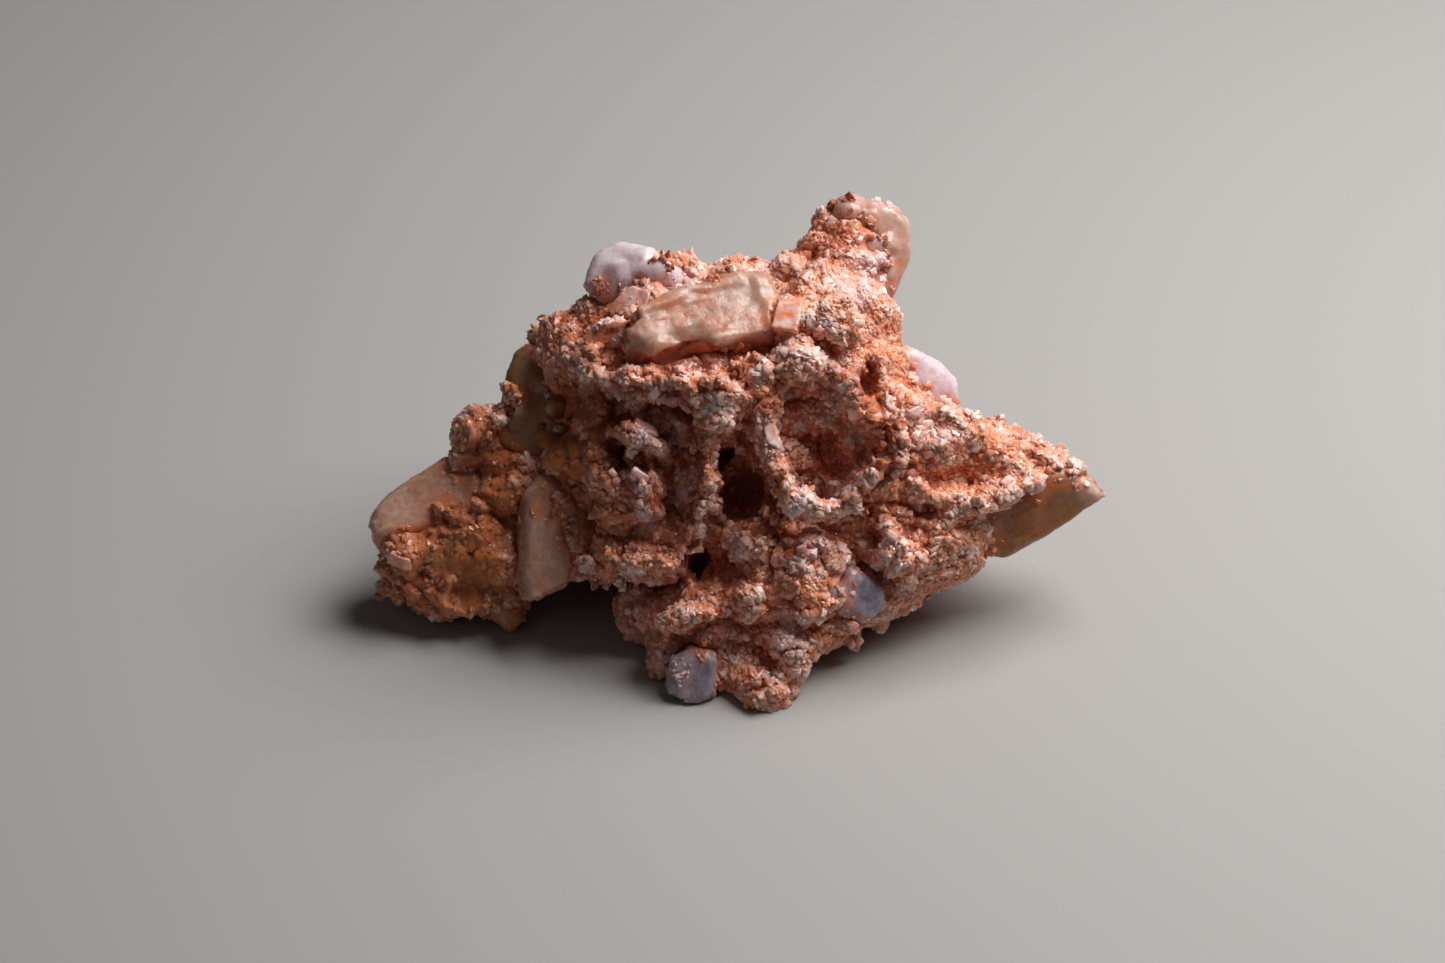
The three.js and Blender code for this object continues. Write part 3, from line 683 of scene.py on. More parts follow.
def relief_tree(druse):
    """Crumbs, clefts and seams of the crust's bed, and how hollow each place is."""
    tree, start, end = geometry_tree("Relief")
    place, normal = place_of(tree), normal_of(tree)
    hollow = times(tree, standing_out(tree, place, normal, 16), -1.0)

    lumps = noise(tree, place, druse.lump_spacing, 3.0, 0.55)
    total = times(tree, centred(tree, lumps), 2.4 * druse.lump_height)
    drift = noise(tree, place, 3 * MM, output="Color")
    bent = combine(tree, "MULTIPLY_ADD", drift, (BEND_REACH,) * 3, place)
    waxy = ramp(tree, named(tree, "honey"), 0.3, 0.8, 1.0, 2.4)
    for size, height in CRUMBS:
        crumbs = cells(tree, bent, size, "SMOOTH_F1")
        domes = add_times(tree, times(tree, crumbs, crumbs), -2 * height, 0.5 * height)
        total = add_times(tree, domes, waxy, total)
    clusters = cells(tree, bent, druse.cluster_size, "DISTANCE_TO_EDGE")
    patches = ramp(tree, noise(tree, place, 9 * MM, 1.0), 0.38, 0.54)
    cleft = times(tree, ramp(tree, clusters, 0.0, 0.12, 1.0, 0.0), patches)
    total = add_times(tree, cleft, -druse.cleft_depth, total)
    total = minus(tree, total, named(tree, "groove"))
    thin = ramp(tree, hollow, -0.6, 0.0, 0.3, 1.0)
    total = minus(tree, total, times(tree, thin, druse.inset))
    pocket = named(tree, "pocket")
    total = add_times(tree, pocket, POCKET_RISE, times(tree, total, minus(tree, 1.0, pocket)))

    marked = store(tree, start, "cleft", cleft)
    marked = store(tree, marked, "hollow", hollow)
    laid_open = minus(tree, named(tree, "open"), named(tree, "lift"))
    sunk = stretch(tree, tuple(-OPEN_DEPTH * FACE_OUT), laid_open)
    laid = put(tree, nudge(tree, marked, total), offset=sunk)
    tree.links.new(above_floor(tree, laid, 0.1 * MM), end)
    return tree


def small_crystal(name, width, thickness, cuts):
    """A small crystal one unit high: a block with its root below, its top cut by slanting faces.

    Each cut is its height on the middle line, its slope, and the way that it slopes, in degrees.
    """
    form = bmesh.new()
    bmesh.ops.create_cube(form, size=1)
    bmesh.ops.scale(form, vec=(width, thickness, CRYSTAL_LENGTH), verts=form.verts)
    bmesh.ops.translate(form, vec=(0, 0, 0.3), verts=form.verts)
    for height, slope, way in cuts:
        slope, way = math.radians(slope), math.radians(way)
        aside = math.sin(slope)
        direction = (aside * math.cos(way), aside * math.sin(way), math.cos(slope))
        everything = form.verts[:] + form.edges[:] + form.faces[:]
        cut = bmesh.ops.bisect_plane(
            form, geom=everything, plane_co=(0, 0, height), plane_no=direction, clear_outer=True)
        rim = [e for e in cut["geom_cut"] if isinstance(e, bmesh.types.BMEdge)]
        bmesh.ops.edgeloop_fill(form, edges=rim)
    bmesh.ops.dissolve_degenerate(form, dist=0.001, edges=form.edges)
    bmesh.ops.recalc_face_normals(form, faces=form.faces)
    return mesh_from(form, name)


def crystal_forms():
    """A collection of the forms of the crystals on the crests."""
    forms = bpy.data.collections.new("Crystal forms")
    shapes = (
        ("blade", 0.66, 0.36, ((0.82, 44, 0), (0.86, 40, 180))),
        ("block", 0.6, 0.5, ((0.7, 36, 20), (0.8, 52, 200))),
        ("spear", 0.52, 0.4, ((0.95, 58, 10), (0.95, 58, 190), (1.0, 46, 95))),
        ("wedge", 0.7, 0.44, ((0.78, 50, 80), (0.84, 28, 0))),
        ("stub", 0.6, 0.55, ((0.62, 26, 60), (0.75, 46, 330), (0.8, 50, 210))),
    )
    for name, width, thickness, cuts in shapes:
        forms.objects.link(bpy.data.objects.new(name, small_crystal(name, width, thickness, cuts)))
    return forms


def grain_forms():
    """A collection of blunt grains, each a block about one unit wide with its sides askew."""
    forms = bpy.data.collections.new("Grain forms")
    chance = np.random.default_rng(5)
    for _ in range(GRAIN_FORMS):
        form = bmesh.new()
        bmesh.ops.create_cube(form, size=0.95)
        for corner in form.verts:
            corner.co += Vector(chance.uniform(-0.2, 0.2, 3))
        bmesh.ops.triangulate(form, faces=form.faces)
        bmesh.ops.recalc_face_normals(form, faces=form.faces)
        forms.objects.link(bpy.data.objects.new("grain", mesh_from(form, "grain")))
    return forms


def discard(forms):
    """Takes a collection of forms and their meshes away again."""
    for form in list(forms.objects):
        bpy.data.meshes.remove(form.data)
    bpy.data.collections.remove(forms)


def random_of(tree, low, high, seed):
    kind = "FLOAT" if isinstance(low, float) else "FLOAT_VECTOR"
    return made(tree, "FunctionNodeRandomValue", low, high, None, seed, data_type=kind)


def scatter_tree(forms, seed, span, size, spacing, tilt, sink, keep):
    """Small crystals standing on a surface between two distances across.

    Each rule of keep is an attribute's name, a low and a high value, and the share kept at each.
    """
    tree, start, end = geometry_tree("Scatter")
    place = place_of(tree)
    across = place_node(tree, "ShaderNodeSeparateXYZ", place).outputs[0]
    beyond = [calculate(tree, "GREATER_THAN", across, bound) for bound in span]
    share = minus(tree, 1.0, named(tree, "pocket"))
    for name, *limits in keep:
        share = times(tree, share, ramp(tree, named(tree, name), *limits))
    points = place_node(
        tree, "GeometryNodeDistributePointsOnFaces", start, minus(tree, *beyond), spacing,
        1.1 / spacing ** 2, share, seed, distribute_method="POISSON")
    outward = result(points, "Normal")
    spots = store(tree, result(points), "tint", random_of(tree, 0.0, 1.0, seed + 1))
    spots = store(tree, spots, "foot", place, "FLOAT_VECTOR")
    spots = store(tree, spots, "outward", outward, "FLOAT_VECTOR")
    spots = put(tree, spots, offset=stretch(tree, outward, -sink))

    lean = random_of(tree, (-tilt, -tilt, 0.0), (tilt, tilt, 2 * math.pi), seed + 2)
    stand = made(
        tree, "FunctionNodeRotateRotation", result(points, "Rotation"), lean, rotation_space="LOCAL")
    growth = ramp(tree, noise(tree, place, 5 * MM), 0.35, 0.65, 0.85, 1.1)
    chance = calculate(tree, "POWER", random_of(tree, 0.0, 1.0, seed + 3), 3.0)
    height = times(tree, growth, add_times(tree, chance, 0.7, 0.65))
    height = times(tree, height, size)
    height = times(tree, height, ramp(tree, named(tree, "pale"), 0.2, 0.9, 1.0, 1.12))
    shape = random_of(tree, (0.75, 0.75, 0.8), (1.25, 1.25, 1.15), seed + 4)
    group = made(tree, "GeometryNodeCollectionInfo", forms, True, True)
    standing = made(
        tree, "GeometryNodeInstanceOnPoints", spots, None, group, True, None, stand,
        stretch(tree, shape, height))
    real = made(tree, "GeometryNodeRealizeInstances", standing)

    above = combine(tree, "SUBTRACT", place, named(tree, "foot", "FLOAT_VECTOR"))
    reach = dot(tree, above, named(tree, "outward", "FLOAT_VECTOR"))
    real = store(tree, real, "tip", ramp(tree, reach, -0.05 * MM, 0.65 * MM))
    tree.links.new(above_floor(tree, real, 0.02 * MM), end)
    return tree


def worn_tree():
    """Rounds a large crystal's edges and measures where they are."""
    tree, start, end = geometry_tree("Worn edges")
    place = place_of(tree)
    rounded = put(tree, start, evened(tree, place, 2))
    edge = standing_out(tree, place, normal_of(tree), 12)
    tree.links.new(store(tree, rounded, "edge", edge), end)
    return tree


def growth_tree(crystals):
    """Growth lines, uneven faces, chipped edges and rough ends of a large crystal."""
    tree, start, end = geometry_tree("Growth")
    place, opened = place_of(tree), named(tree, "open")
    broad = noise(tree, place, 5 * MM, 3.0, 0.55)
    swell = times(tree, centred(tree, broad), 2.6 * crystals.unevenness)
    drawn = combine(tree, "MULTIPLY", named(tree, "grown", "FLOAT_VECTOR"), (0.14, 1.1, 1.1))
    lines = noise(tree, drawn, 1.0, 4.0, 0.6, 0.5)
    ribs = times(tree, centred(tree, lines), 2.4 * crystals.growth)
    small = noise(tree, place, 1.3 * MM, 2.0, 0.6)
    chips = ramp(tree, small, 0.42, 0.6, 0.0, -0.4 * MM)
    rough = times(tree, centred(tree, small), 2.2 * MM)
    total = calculate(tree, "ADD", swell, ribs)
    total = add_times(tree, chips, ramp(tree, named(tree, "edge"), 0.1, 0.42), total)
    total = add_times(tree, rough, named(tree, "end"), total)
    total = minus(tree, total, named(tree, "groove"))
    total = calculate(tree, "ADD", total, ramp(tree, opened, 0.0, 1.0, 0.0, 0.8 * MM))
    total = calculate(tree, "ADD", total, ramp(tree, opened, 1.5, 2.2, 0.0, 1.7 * MM))
    settled = above_floor(tree, nudge(tree, start, total), 0.05 * MM)
    edge = standing_out(tree, place, normal_of(tree), 12)
    tree.links.new(store(tree, settled, "edge", edge), end)
    return tree


def seat_crystals(ground, forms):
    """A mesh of the single larger crystals, each laid into the ground that the display face shows there."""
    form = bmesh.new()
    for i, (across, up, length_along, width, turn) in enumerate(SEATED):
        start = (FACE_MIDDLE + across * FACE_LEVEL + up * FACE_UP + 60 * FACE_OUT) * MM
        spot, slope, _, _ = ground.ray_cast(start, -FACE_OUT)
        away = (slope + FACE_OUT).normalized()
        along = FACE_LEVEL * math.cos(math.radians(turn)) + FACE_UP * math.sin(math.radians(turn))
        along = (along - away * along.dot(away)).normalized()
        thickness = 0.75 * width
        columns = (
            away.cross(along) * width * MM / 0.6, away * thickness * MM / 0.45,
            along * length_along * MM / 1.3)
        place = Matrix(columns).transposed().to_4x4()
        above = away * (SEATED_RISE - thickness / 2) * MM
        place.translation = spot + above - along * 0.3 * length_along * MM
        mesh = forms[i % len(forms)].data.copy()
        mesh.transform(place)
        form.from_mesh(mesh)
        bpy.data.meshes.remove(mesh)
    return mesh_from(form, "seated_crystals")


# ---- materials ----
def new_material(name):
    material = bpy.data.materials.new(name)
    material.use_nodes = True
    tree = material.node_tree
    return material, tree, tree.nodes["Principled BSDF"]


def read(tree, name):
    node = tree.nodes.new("ShaderNodeAttribute")
    node.attribute_name = name
    return node.outputs["Fac"]


def object_place(tree):
    return tree.nodes.new("ShaderNodeTexCoord").outputs["Object"]


def soften_facets(tree, share, outward):
    """A normal between those of the flat face, of the rounded form and of the ground below it."""
    form = tree.nodes.new("ShaderNodeNewGeometry")
    normal = made(
        tree, "ShaderNodeMix", share, form.outputs["Normal"], form.outputs["True Normal"],
        data_type="VECTOR")
    ground = tree.nodes.new("ShaderNodeAttribute")
    ground.attribute_name = "outward"
    normal = made(tree, "ShaderNodeMix", outward, normal, ground.outputs["Vector"], data_type="VECTOR")
    return combine(tree, "NORMALIZE", normal)


def add_bump(tree, shader, height, distance, strength, normal=None):
    bump = tree.nodes.new("ShaderNodeBump")
    inputs = {"Normal": normal, "Distance": distance, "Strength": strength, "Height": height}
    for name, value in inputs.items():
        feed(tree, bump.inputs[name], value)
    tree.links.new(bump.outputs["Normal"], shader.inputs["Normal"])


def make_translucent(shader, weight, reach, tint):
    shader.inputs["Subsurface Weight"].default_value = weight
    shader.inputs["Subsurface Radius"].default_value = tint
    shader.inputs["Subsurface Scale"].default_value = reach
    shader.inputs["IOR"].default_value = 1.5


def druse_material(name, druse, calm=0.5):
    """Translucent salmon crystals with pale tips, amber on the left, rusty in the seams and painted shade
    in hollows.

    Calm is the share of the ground's normal in each crystal's, which keeps small facets quiet.
    """
    material, tree, shader = new_material(name)
    place = object_place(tree)
    tip, tint = read(tree, "tip"), read(tree, "tint")
    mottle = noise(tree, place, 4 * MM, 3.0, 0.6)
    clusters = noise(tree, place, 1.7 * MM, 2.0, 0.6)
    fine = noise(tree, place, 0.7 * MM)
    pale, hollow, honey = read(tree, "pale"), read(tree, "hollow"), read(tree, "honey")
    # Paler towards each crystal's tip and deeper orange at its root: partly the crystals' own colour,
    # partly painted light and painted shade.
    paleness = add_times(tree, centred(tree, mottle), 1.6, tip)
    paleness = add_times(tree, centred(tree, clusters), 2.2, paleness)
    # Hollows turn deeper orange: painted shade.
    paleness = add_times(tree, hollow, -0.6, paleness)
    # Pale patches: paler crystals, and painted light in some.
    paleness = add_times(tree, pale, 0.3, paleness)
    colour = blend(tree, ramp(tree, paleness, -0.1, 0.55), druse.root, druse.salmon)
    colour = blend(tree, ramp(tree, paleness, 0.45, 1.1), colour, druse.tip)
    glassy = add_times(tree, pale, 0.2, times(tree, tint, 0.75))
    glassy = times(tree, ramp(tree, glassy, 0.45, 0.75), ramp(tree, paleness, 0.3, 1.1, 0.0, 0.95))
    colour = blend(tree, glassy, colour, druse.clear)
    amber = times(tree, honey, ramp(tree, tip, 0.0, 1.0, 0.95, 0.7))
    colour = blend(tree, amber, colour, druse.honey)

    stained = times(tree, read(tree, "stain"), ramp(tree, mottle, 0.38, 0.56, 0.4, 1.0))
    sunk = ramp(tree, hollow, 0.0, 0.5, 0.0, 0.5)
    # Rusty seams and stained patches, and painted shade in the clefts and hollows and towards the crystals'
    # roots, all in one colour.
    stain_and_shade_share = largest(tree, stained, times(tree, read(tree, "cleft"), 0.7), sunk)
    stain_and_shade_share = times(tree, stain_and_shade_share, ramp(tree, tip, 0.2, 1.0, 1.0, 0.45))
    stain_and_shade_share = largest(tree, stain_and_shade_share, ramp(tree, read(tree, "seam"), 0.05, 0.45))
    stain_and_shade_share = times(tree, stain_and_shade_share, ramp(tree, fine, 0.35, 0.65, 0.6, 1.15), clamp=True)
    colour = blend(tree, stain_and_shade_share, colour, druse.rust_and_shade)
    # Frost patches: lilac-white crystals, and painted highlights in some.
    colour = blend(tree, times(tree, read(tree, "frost"), 0.8), colour, druse.frost)
    shade = ramp(tree, tint, 0.0, 0.8, 0.9, 1.05)
    grey = made(tree, "ShaderNodeCombineColor", shade, shade, shade)
    colour = blend(tree, 1.0, colour, grey, "MULTIPLY")

    tree.links.new(colour, shader.inputs["Base Color"])
    tree.links.new(ramp(tree, tint, 0.0, 1.0, 0.42, 0.1), shader.inputs["Roughness"])
    shader.inputs["Specular IOR Level"].default_value = 0.55
    make_translucent(shader, 0.7, 0.3 * MM, (1.0, 0.92, 0.86))
    facets = soften_facets(tree, ramp(tree, tint, 0.0, 1.0, 0.3, 1.0), calm)
    add_bump(tree, shader, noise(tree, place, 0.25 * MM), 0.06 * MM, 0.7, facets)
    return material


def bed_material(druse):
    """The rough ground between the crust's crystals, with painted shade in its clefts and hollows."""
    material, tree, shader = new_material("Druse bed")
    place = object_place(tree)
    honey = read(tree, "honey")
    mottle = noise(tree, place, 4 * MM, 3.0, 0.6)
    fine = noise(tree, place, 0.6 * MM, 3.0, 0.6)
    colour = blend(tree, ramp(tree, mottle, 0.4, 0.7, 0.0, 0.5), druse.root, druse.tip)
    colour = blend(tree, honey, colour, druse.honey)
    # Bare patches take the hole colour, painted shade; frost patches take lilac white, partly painted
    # highlight.
    for name, tint in (("bare", druse.hole), ("frost", druse.frost)):
        colour = blend(tree, times(tree, read(tree, name), 0.85), colour, tint)
    # The shade colour: rusty in the seams and stained patches, and painted shade in the clefts and hollows.
    sunk = ramp(tree, read(tree, "hollow"), 0.05, 0.5, 0.0, 0.75)
    stain_and_shade_share = largest(tree, read(tree, "seam"), read(tree, "stain"), read(tree, "cleft"), sunk)
    stain_and_shade_share = times(tree, stain_and_shade_share, ramp(tree, fine, 0.3, 0.7, 0.75, 1.2), clamp=True)
    colour = blend(tree, stain_and_shade_share, colour, druse.shade)
    tree.links.new(colour, shader.inputs["Base Color"])
    tree.links.new(ramp(tree, fine, 0.3, 0.7, 0.45, 0.7), shader.inputs["Roughness"])
    make_translucent(shader, 0.6, 0.8 * MM, (1.0, 0.75, 0.6))
    crumbs = minus(tree, fine, cells(tree, place, 0.55 * MM))
    crumbs = times(tree, crumbs, ramp(tree, honey, 0.2, 0.8, 1.0, 0.2))
    add_bump(tree, shader, crumbs, 0.2 * MM, 0.8)
    return material


def milky_material(name, body, dull_and_shaded_body, edge, druse, clearness):
    """A large milky crystal: cloudy, pale at its worn edges, stained in patches, and deeper orange where
    the crust meets it.
    """
    material, tree, shader = new_material(name)
    place = object_place(tree)
    dull, plain, stain = read(tree, "dull"), read(tree, "plain"), read(tree, "stain")
    clouds = noise(tree, place, 6 * MM, 3.0, 0.6)
    mottle = noise(tree, place, 1.8 * MM, 3.0, 0.65, 0.4)
    specks = noise(tree, place, 0.6 * MM, 2.0, 0.6)
    # Dull crystals take a darker body colour: partly their own duller colour, partly painted shade.
    colour = blend(tree, dull, body, dull_and_shaded_body)
    cloudy = times(tree, ramp(tree, mottle, 0.4, 0.64, 0.0, 0.55), ramp(tree, dull, 0.0, 1.0, 1.0, 0.35))
    colour = blend(tree, cloudy, colour, edge)
    flushed = times(tree, ramp(tree, clouds, 0.42, 0.62, 0.1, 0.36), ramp(tree, mottle, 0.6, 0.4))
    flushed = times(tree, flushed, ramp(tree, plain, 0.0, 1.0, 1.0, 0.2))
    colour = blend(tree, flushed, colour, druse.root)
    worn = times(tree, ramp(tree, read(tree, "edge"), 0.1, 0.35), ramp(tree, specks, 0.35, 0.6, 0.2, 0.9))
    colour = blend(tree, worn, colour, edge)
    # Pale patches lighten the crystal with its edge colour: painted light, as on the shoulder.
    light = times(tree, read(tree, "pale"), ramp(tree, mottle, 0.3, 0.6, 0.9, 0.5))
    light = times(tree, light, ramp(tree, dull, 0.0, 1.0, 1.0, 0.3))
    colour = blend(tree, light, colour, edge)

    stained = times(tree, stain, ramp(tree, mottle, 0.35, 0.6, 0.75, 0.45))
    colour = blend(tree, stained, colour, druse.rust_and_shade)
    frosted = times(tree, read(tree, "frost"), ramp(tree, specks, 0.3, 0.6, 0.9, 0.5))
    colour = blend(tree, frosted, colour, druse.frost)
    amber = times(tree, read(tree, "honey"), ramp(tree, mottle, 0.35, 0.6, 0.35, 0.1))
    colour = blend(tree, amber, colour, druse.honey)
    covered = ramp(tree, read(tree, "open"), 0.1, 0.5, 1.0, 0.1)
    near = times(tree, ramp(tree, read(tree, "beside"), 0.3, 2.0, 0.65, 0.0), covered)
    near = times(tree, near, ramp(tree, mottle, 0.6, 0.4, 0.3, 1.0))
    colour = blend(tree, near, colour, druse.root)
    dots = ramp(tree, cells(tree, place, 0.7 * MM), 0.1, 0.24, 0.5, 0.0)
    dots = times(tree, dots, ramp(tree, clouds, 0.42, 0.6))
    dots = times(tree, dots, ramp(tree, plain, 0.0, 1.0, 1.0, 0.3))
    colour = blend(tree, dots, colour, druse.rust_and_shade)

    tree.links.new(colour, shader.inputs["Base Color"])
    tree.links.new(ramp(tree, specks, 0.35, 0.65, 0.18, 0.45), shader.inputs["Roughness"])
    make_translucent(shader, 0.8, 2.2 * MM, (1.0, 0.85, 0.72))
    shader.inputs["Transmission Weight"].default_value = clearness
    grit = cells(tree, place, 0.32 * MM)
    frost = add_times(tree, grit, -0.2, add_times(tree, mottle, 1.2, specks))
    add_bump(tree, shader, frost, 0.1 * MM, 0.35)
    return material


# ---- operators ----
class SPECIMEN_OT_druse_bed(bpy.types.Operator):
    """Makes the bed that the crust's small crystals stand on"""

    bl_idname = "specimen.druse_bed"
    bl_label = "Druse bed"

    def execute(self, context):
        druse = context.scene.specimen_druse
        bed = shown("druse_bed", joined_copy(CRUST))
        regrid(bed, druse.grid)
        shape_by(bed, smooth_tree("Even bed", 3))
        mark_face(bed.data)
        crystals = search_tree(map(solid_of, TAN_CRYSTALS + LAVENDER_CRYSTALS))
        mark_neighbours(bed.data, crystals, 4 * MM, 0.6 * MM)
        shape_by(bed, relief_tree(druse))
        finish(bed, bed_material(druse))
        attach(bed, "root")
        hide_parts(CRUST)
        return {"FINISHED"}


def grow_on(ground, name, tree, material, smooth=True):
    """Makes a piece of what a tree grows on a ground's surface."""
    piece = shown(name, ground.data.copy())
    shape_by(piece, tree)
    finish(piece, material, smooth)
    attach(piece, "root")


class SPECIMEN_OT_grains(bpy.types.Operator):
    """Covers the crust's bed with grains"""

    bl_idname = "specimen.grains"
    bl_label = "Grains"

    def execute(self, context):
        druse = context.scene.specimen_druse
        bed = bpy.data.objects["druse_bed"]
        forms = grain_forms()
        material = druse_material("Salmon grains", druse)
        names = ("left_wing", "left_side", "middle", "right_side", "right_arm")
        bounds = np.quantile(corners_of(bed.data)[:, 0], np.linspace(0, 1, len(names) + 1))
        bounds[0], bounds[-1] = EVERYWHERE
        keep = (
            ("seam", 0.3, 0.6, 1.0, 0.1), ("cleft", 0.4, 0.9, 1.0, 0.5), ("bare", 0.4, 0.8, 1.0, 0.05),
            ("honey", 0.25, 0.7, 1.0, 0.3), ("open", 0.3, 0.6, 1.0, 0.0),
        )
        for i, name in enumerate(names):
            tree = scatter_tree(
                forms, 10 * i, bounds[i:i + 2], druse.grain_size, druse.grain_spacing, math.pi,
                0.12 * MM, keep)
            grow_on(bed, "grains_" + name, tree, material)
        discard(forms)
        return {"FINISHED"}


class SPECIMEN_OT_crest_crystals(bpy.types.Operator):
    """Grows larger crystals on the crust's crests"""

    bl_idname = "specimen.crest_crystals"
    bl_label = "Crest crystals"

    def execute(self, context):
        druse = context.scene.specimen_druse
        bed = bpy.data.objects["druse_bed"]
        material = druse_material("Salmon crystals", druse, 0.3)
        keep = (
            ("seam", 0.1, 0.3, 1.0, 0.0), ("hollow", -0.3, 0.1, 1.0, 0.15), ("honey", 0.3, 0.8, 1.0, 0.1),
            ("bare", 0.2, 0.4, 1.0, 0.0), ("open", 0.2, 0.4, 1.0, 0.0),
        )
        forms = crystal_forms()
        tree = scatter_tree(
            forms, 90, EVERYWHERE, druse.crystal_size, druse.crystal_spacing, druse.crystal_tilt,
            0.2 * MM, keep)
        grow_on(bed, "crest_crystals", tree, material, smooth=False)
        discard(forms)
        return {"FINISHED"}


class SPECIMEN_OT_seated_crystals(bpy.types.Operator):
    """Lays single larger crystals into the crust"""

    bl_idname = "specimen.seated_crystals"
    bl_label = "Seated crystals"

    def execute(self, context):
        ground = search_tree([bpy.data.objects["druse_bed"].data])
        forms = crystal_forms()
        piece = shown("seated_crystals", seat_crystals(ground, list(forms.objects)))
        discard(forms)
        regrid(piece, SEATED_GRID)
        shape_by(piece, worn_tree())
        shape_by(piece, growth_tree(context.scene.specimen_crystals))
        mark_face(piece.data)
        add_even_attributes(piece.data, tint=0.72, tip=0.45)
        finish(piece, druse_material("Seated crystals", context.scene.specimen_druse))
        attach(piece, "root")
        return {"FINISHED"}


class SPECIMEN_OT_large_crystals(bpy.types.Operator):
    """Refines the large milky crystals"""

    bl_idname = "specimen.large_crystals"
    bl_label = "Large crystals"

    def execute(self, context):
        druse, crystals = context.scene.specimen_druse, context.scene.specimen_crystals
        crust = search_tree([solid_of(CRUST)])
        growth = growth_tree(crystals)
        worn = worn_tree()
        tan = milky_material("Tan crystal", crystals.tan, crystals.olive, crystals.edge, druse, 0.0)
        lavender = milky_material(
            "Lavender crystal", crystals.lavender, crystals.slate, crystals.frost, druse, 0.15)
        for node in TAN_CRYSTALS + LAVENDER_CRYSTALS:
            piece = shown("grown_" + node, joined_copy(node))
            regrid(piece, crystals.grid)
            shape_by(piece, worn)
            mark_growth(piece.data)
            mark_neighbours(piece.data, crust, 6 * MM, 1.1 * MM)
            mark_face(piece.data)
            add_even_attributes(
                piece.data, dull=node in DULL_AND_SHADED_CRYSTALS, plain=node != FLUSHED_CRYSTAL)
            mark_fringe(piece.data)
            shape_by(piece, growth)
            finish(piece, tan if node in TAN_CRYSTALS else lavender)
            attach(piece, "root")
            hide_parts(node)
        return {"FINISHED"}


class SPECIMEN_OT_fringe(bpy.types.Operator):
    """Grows grains up the large crystals where the crust meets them"""

    bl_idname = "specimen.fringe"
    bl_label = "Fringe"

    def execute(self, context):
        druse = context.scene.specimen_druse
        grown = [bpy.data.objects["grown_" + node].data for node in TAN_CRYSTALS + LAVENDER_CRYSTALS]
        ground = shown("fringe_ground", mesh_from(form_of(grown), "fringe"))
        keep = (("fringe", 0.0, 1.0, 0.0, 1.0),)
        forms = grain_forms()
        tree = scatter_tree(
            forms, 130, EVERYWHERE, 0.8 * druse.grain_size, 1.1 * druse.grain_spacing, math.pi,
            0.1 * MM, keep)
        grow_on(ground, "fringe_grains", tree, druse_material("Fringe grains", druse))
        bpy.data.meshes.remove(ground.data)
        discard(forms)
        return {"FINISHED"}


def add_light(name, place, target, size, power):
    data = bpy.data.lights.new(name, "AREA")
    data.size = size
    data.energy = power
    data.color = LAMP_COLOUR
    light = bpy.data.objects.new(name, data)
    light.location = place
    light.rotation_euler = (target - place).to_track_quat("-Z", "Y").to_euler()
    bpy.context.scene.collection.objects.link(light)


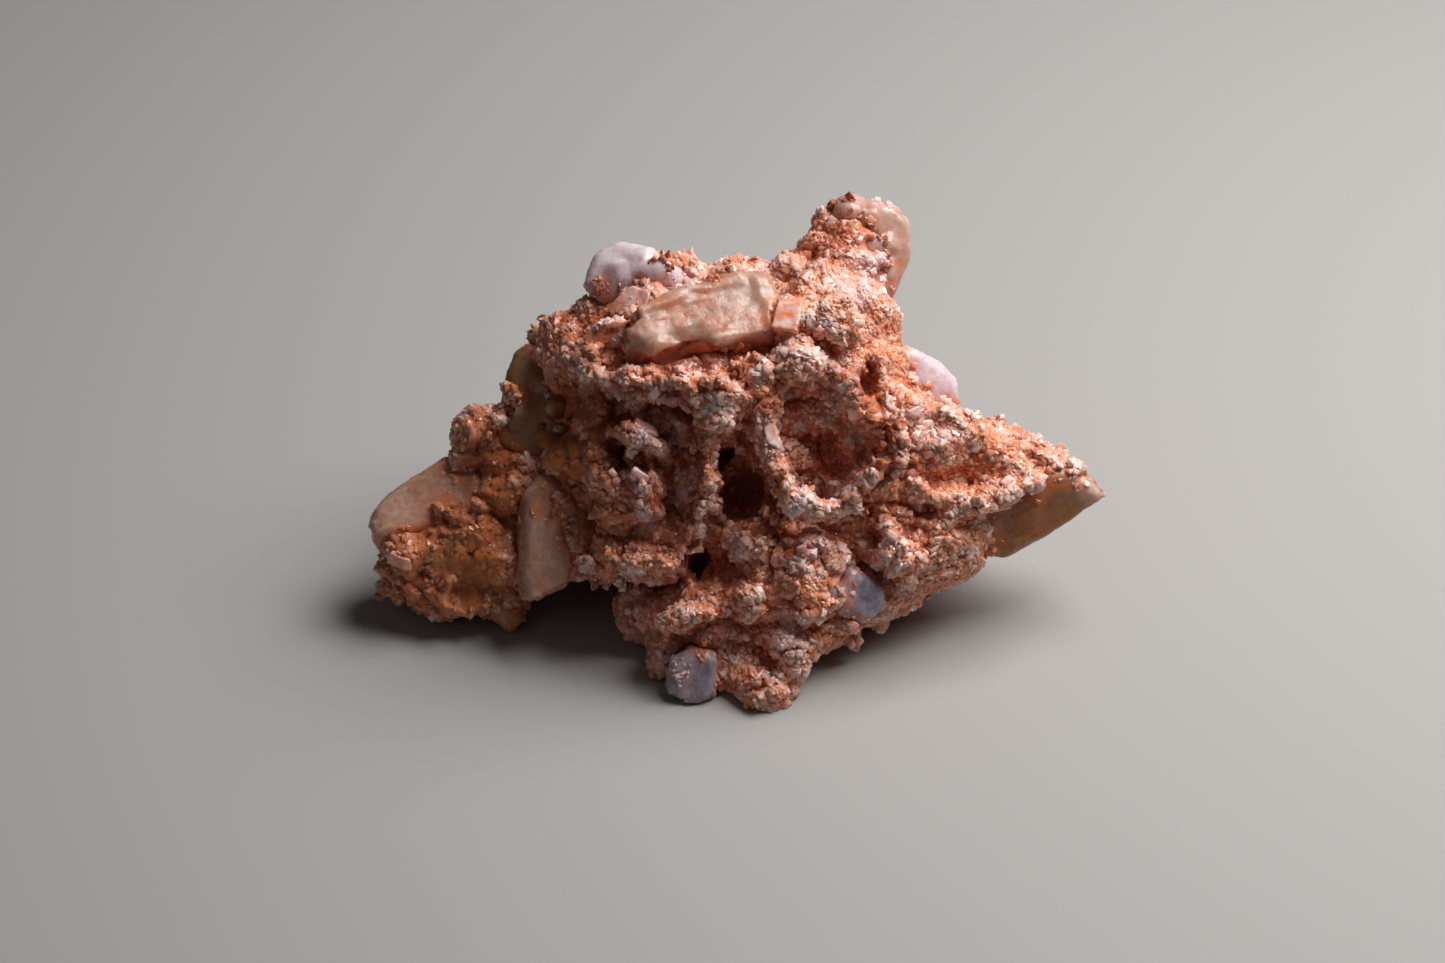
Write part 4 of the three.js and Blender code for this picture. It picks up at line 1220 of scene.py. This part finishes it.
class SPECIMEN_OT_stage(bpy.types.Operator):
    """Sets up the floor, the lights and the camera"""

    bl_idname = "specimen.stage"
    bl_label = "Stage"

    def execute(self, context):
        stage = context.scene.specimen_stage
        form = bmesh.new()
        bmesh.ops.create_grid(form, x_segments=2, y_segments=2, size=3)
        floor = shown("floor", mesh_from(form, "floor"))
        material, _, shader = new_material("Floor")
        shader.inputs["Base Color"].default_value = (*stage.floor, 1)
        shader.inputs["Roughness"].default_value = 0.8
        floor.data.materials.append(material)

        middle = (Vector(CAD_BOX[0]) + Vector(CAD_BOX[1])) / 2
        add_light("Key", middle + KEY_OFFSET, middle, KEY_SIZE, stage.key_power)
        add_light("Fill", middle + FILL_OFFSET, middle, FILL_SIZE, stage.fill_power)
        world = bpy.data.worlds.new("Studio")
        world.use_nodes = True
        background = world.node_tree.nodes["Background"]
        background.inputs["Color"].default_value = (*stage.sky, 1)
        background.inputs["Strength"].default_value = stage.sky_strength
        context.scene.world = world

        data = bpy.data.cameras.new("Camera")
        data.sensor_width = SENSOR_WIDTH
        data.lens = LENS
        data.clip_start = 0.01
        camera = bpy.data.objects.new("Camera", data)
        aim = FACE_MIDDLE + AIM_ACROSS * FACE_LEVEL + AIM_UP * FACE_UP
        camera.location = aim * MM + FACE_OUT * stage.distance
        camera.rotation_euler = (math.pi / 2 - FACE_RISE, 0, 0)
        context.scene.collection.objects.link(camera)
        context.scene.camera = camera
        context.scene.view_settings.view_transform = "Standard"
        return {"FINISHED"}


class SPECIMEN_PT_specimen(bpy.types.Panel):
    """Lists the specimen's steps and settings"""

    bl_label = "Stilbite specimen"
    bl_idname = "SPECIMEN_PT_specimen"
    bl_space_type = "VIEW_3D"
    bl_region_type = "UI"
    bl_category = "Specimen"

    def draw(self, context):
        for step in STEPS:
            self.layout.operator(step.bl_idname)
        for settings in SETTINGS:
            column = self.layout.column()
            group = getattr(context.scene, settings)
            for name in group.__annotations__:
                column.prop(group, name)


SETTINGS = {
    "specimen_druse": DruseSettings,
    "specimen_crystals": CrystalSettings,
    "specimen_stage": StageSettings,
}
STEPS = (
    SPECIMEN_OT_stage,
    SPECIMEN_OT_druse_bed,
    SPECIMEN_OT_grains,
    SPECIMEN_OT_crest_crystals,
    SPECIMEN_OT_seated_crystals,
    SPECIMEN_OT_large_crystals,
    SPECIMEN_OT_fringe,
)


def register():
    for group in (*SETTINGS.values(), *STEPS, SPECIMEN_PT_specimen):
        bpy.utils.register_class(group)
    for name, group in SETTINGS.items():
        setattr(bpy.types.Scene, name, bpy.props.PointerProperty(type=group))


def unregister():
    for name in SETTINGS:
        delattr(bpy.types.Scene, name)
    for group in (SPECIMEN_PT_specimen, *STEPS, *SETTINGS.values()):
        bpy.utils.unregister_class(group)


def main():
    register()
    bpy.ops.specimen.stage()
    bpy.ops.specimen.druse_bed()
    bpy.ops.specimen.grains()
    bpy.ops.specimen.crest_crystals()
    bpy.ops.specimen.seated_crystals()
    bpy.ops.specimen.large_crystals()
    bpy.ops.specimen.fringe()
    bpy.context.view_layer.update()


if __name__ == "__main__":
    main()
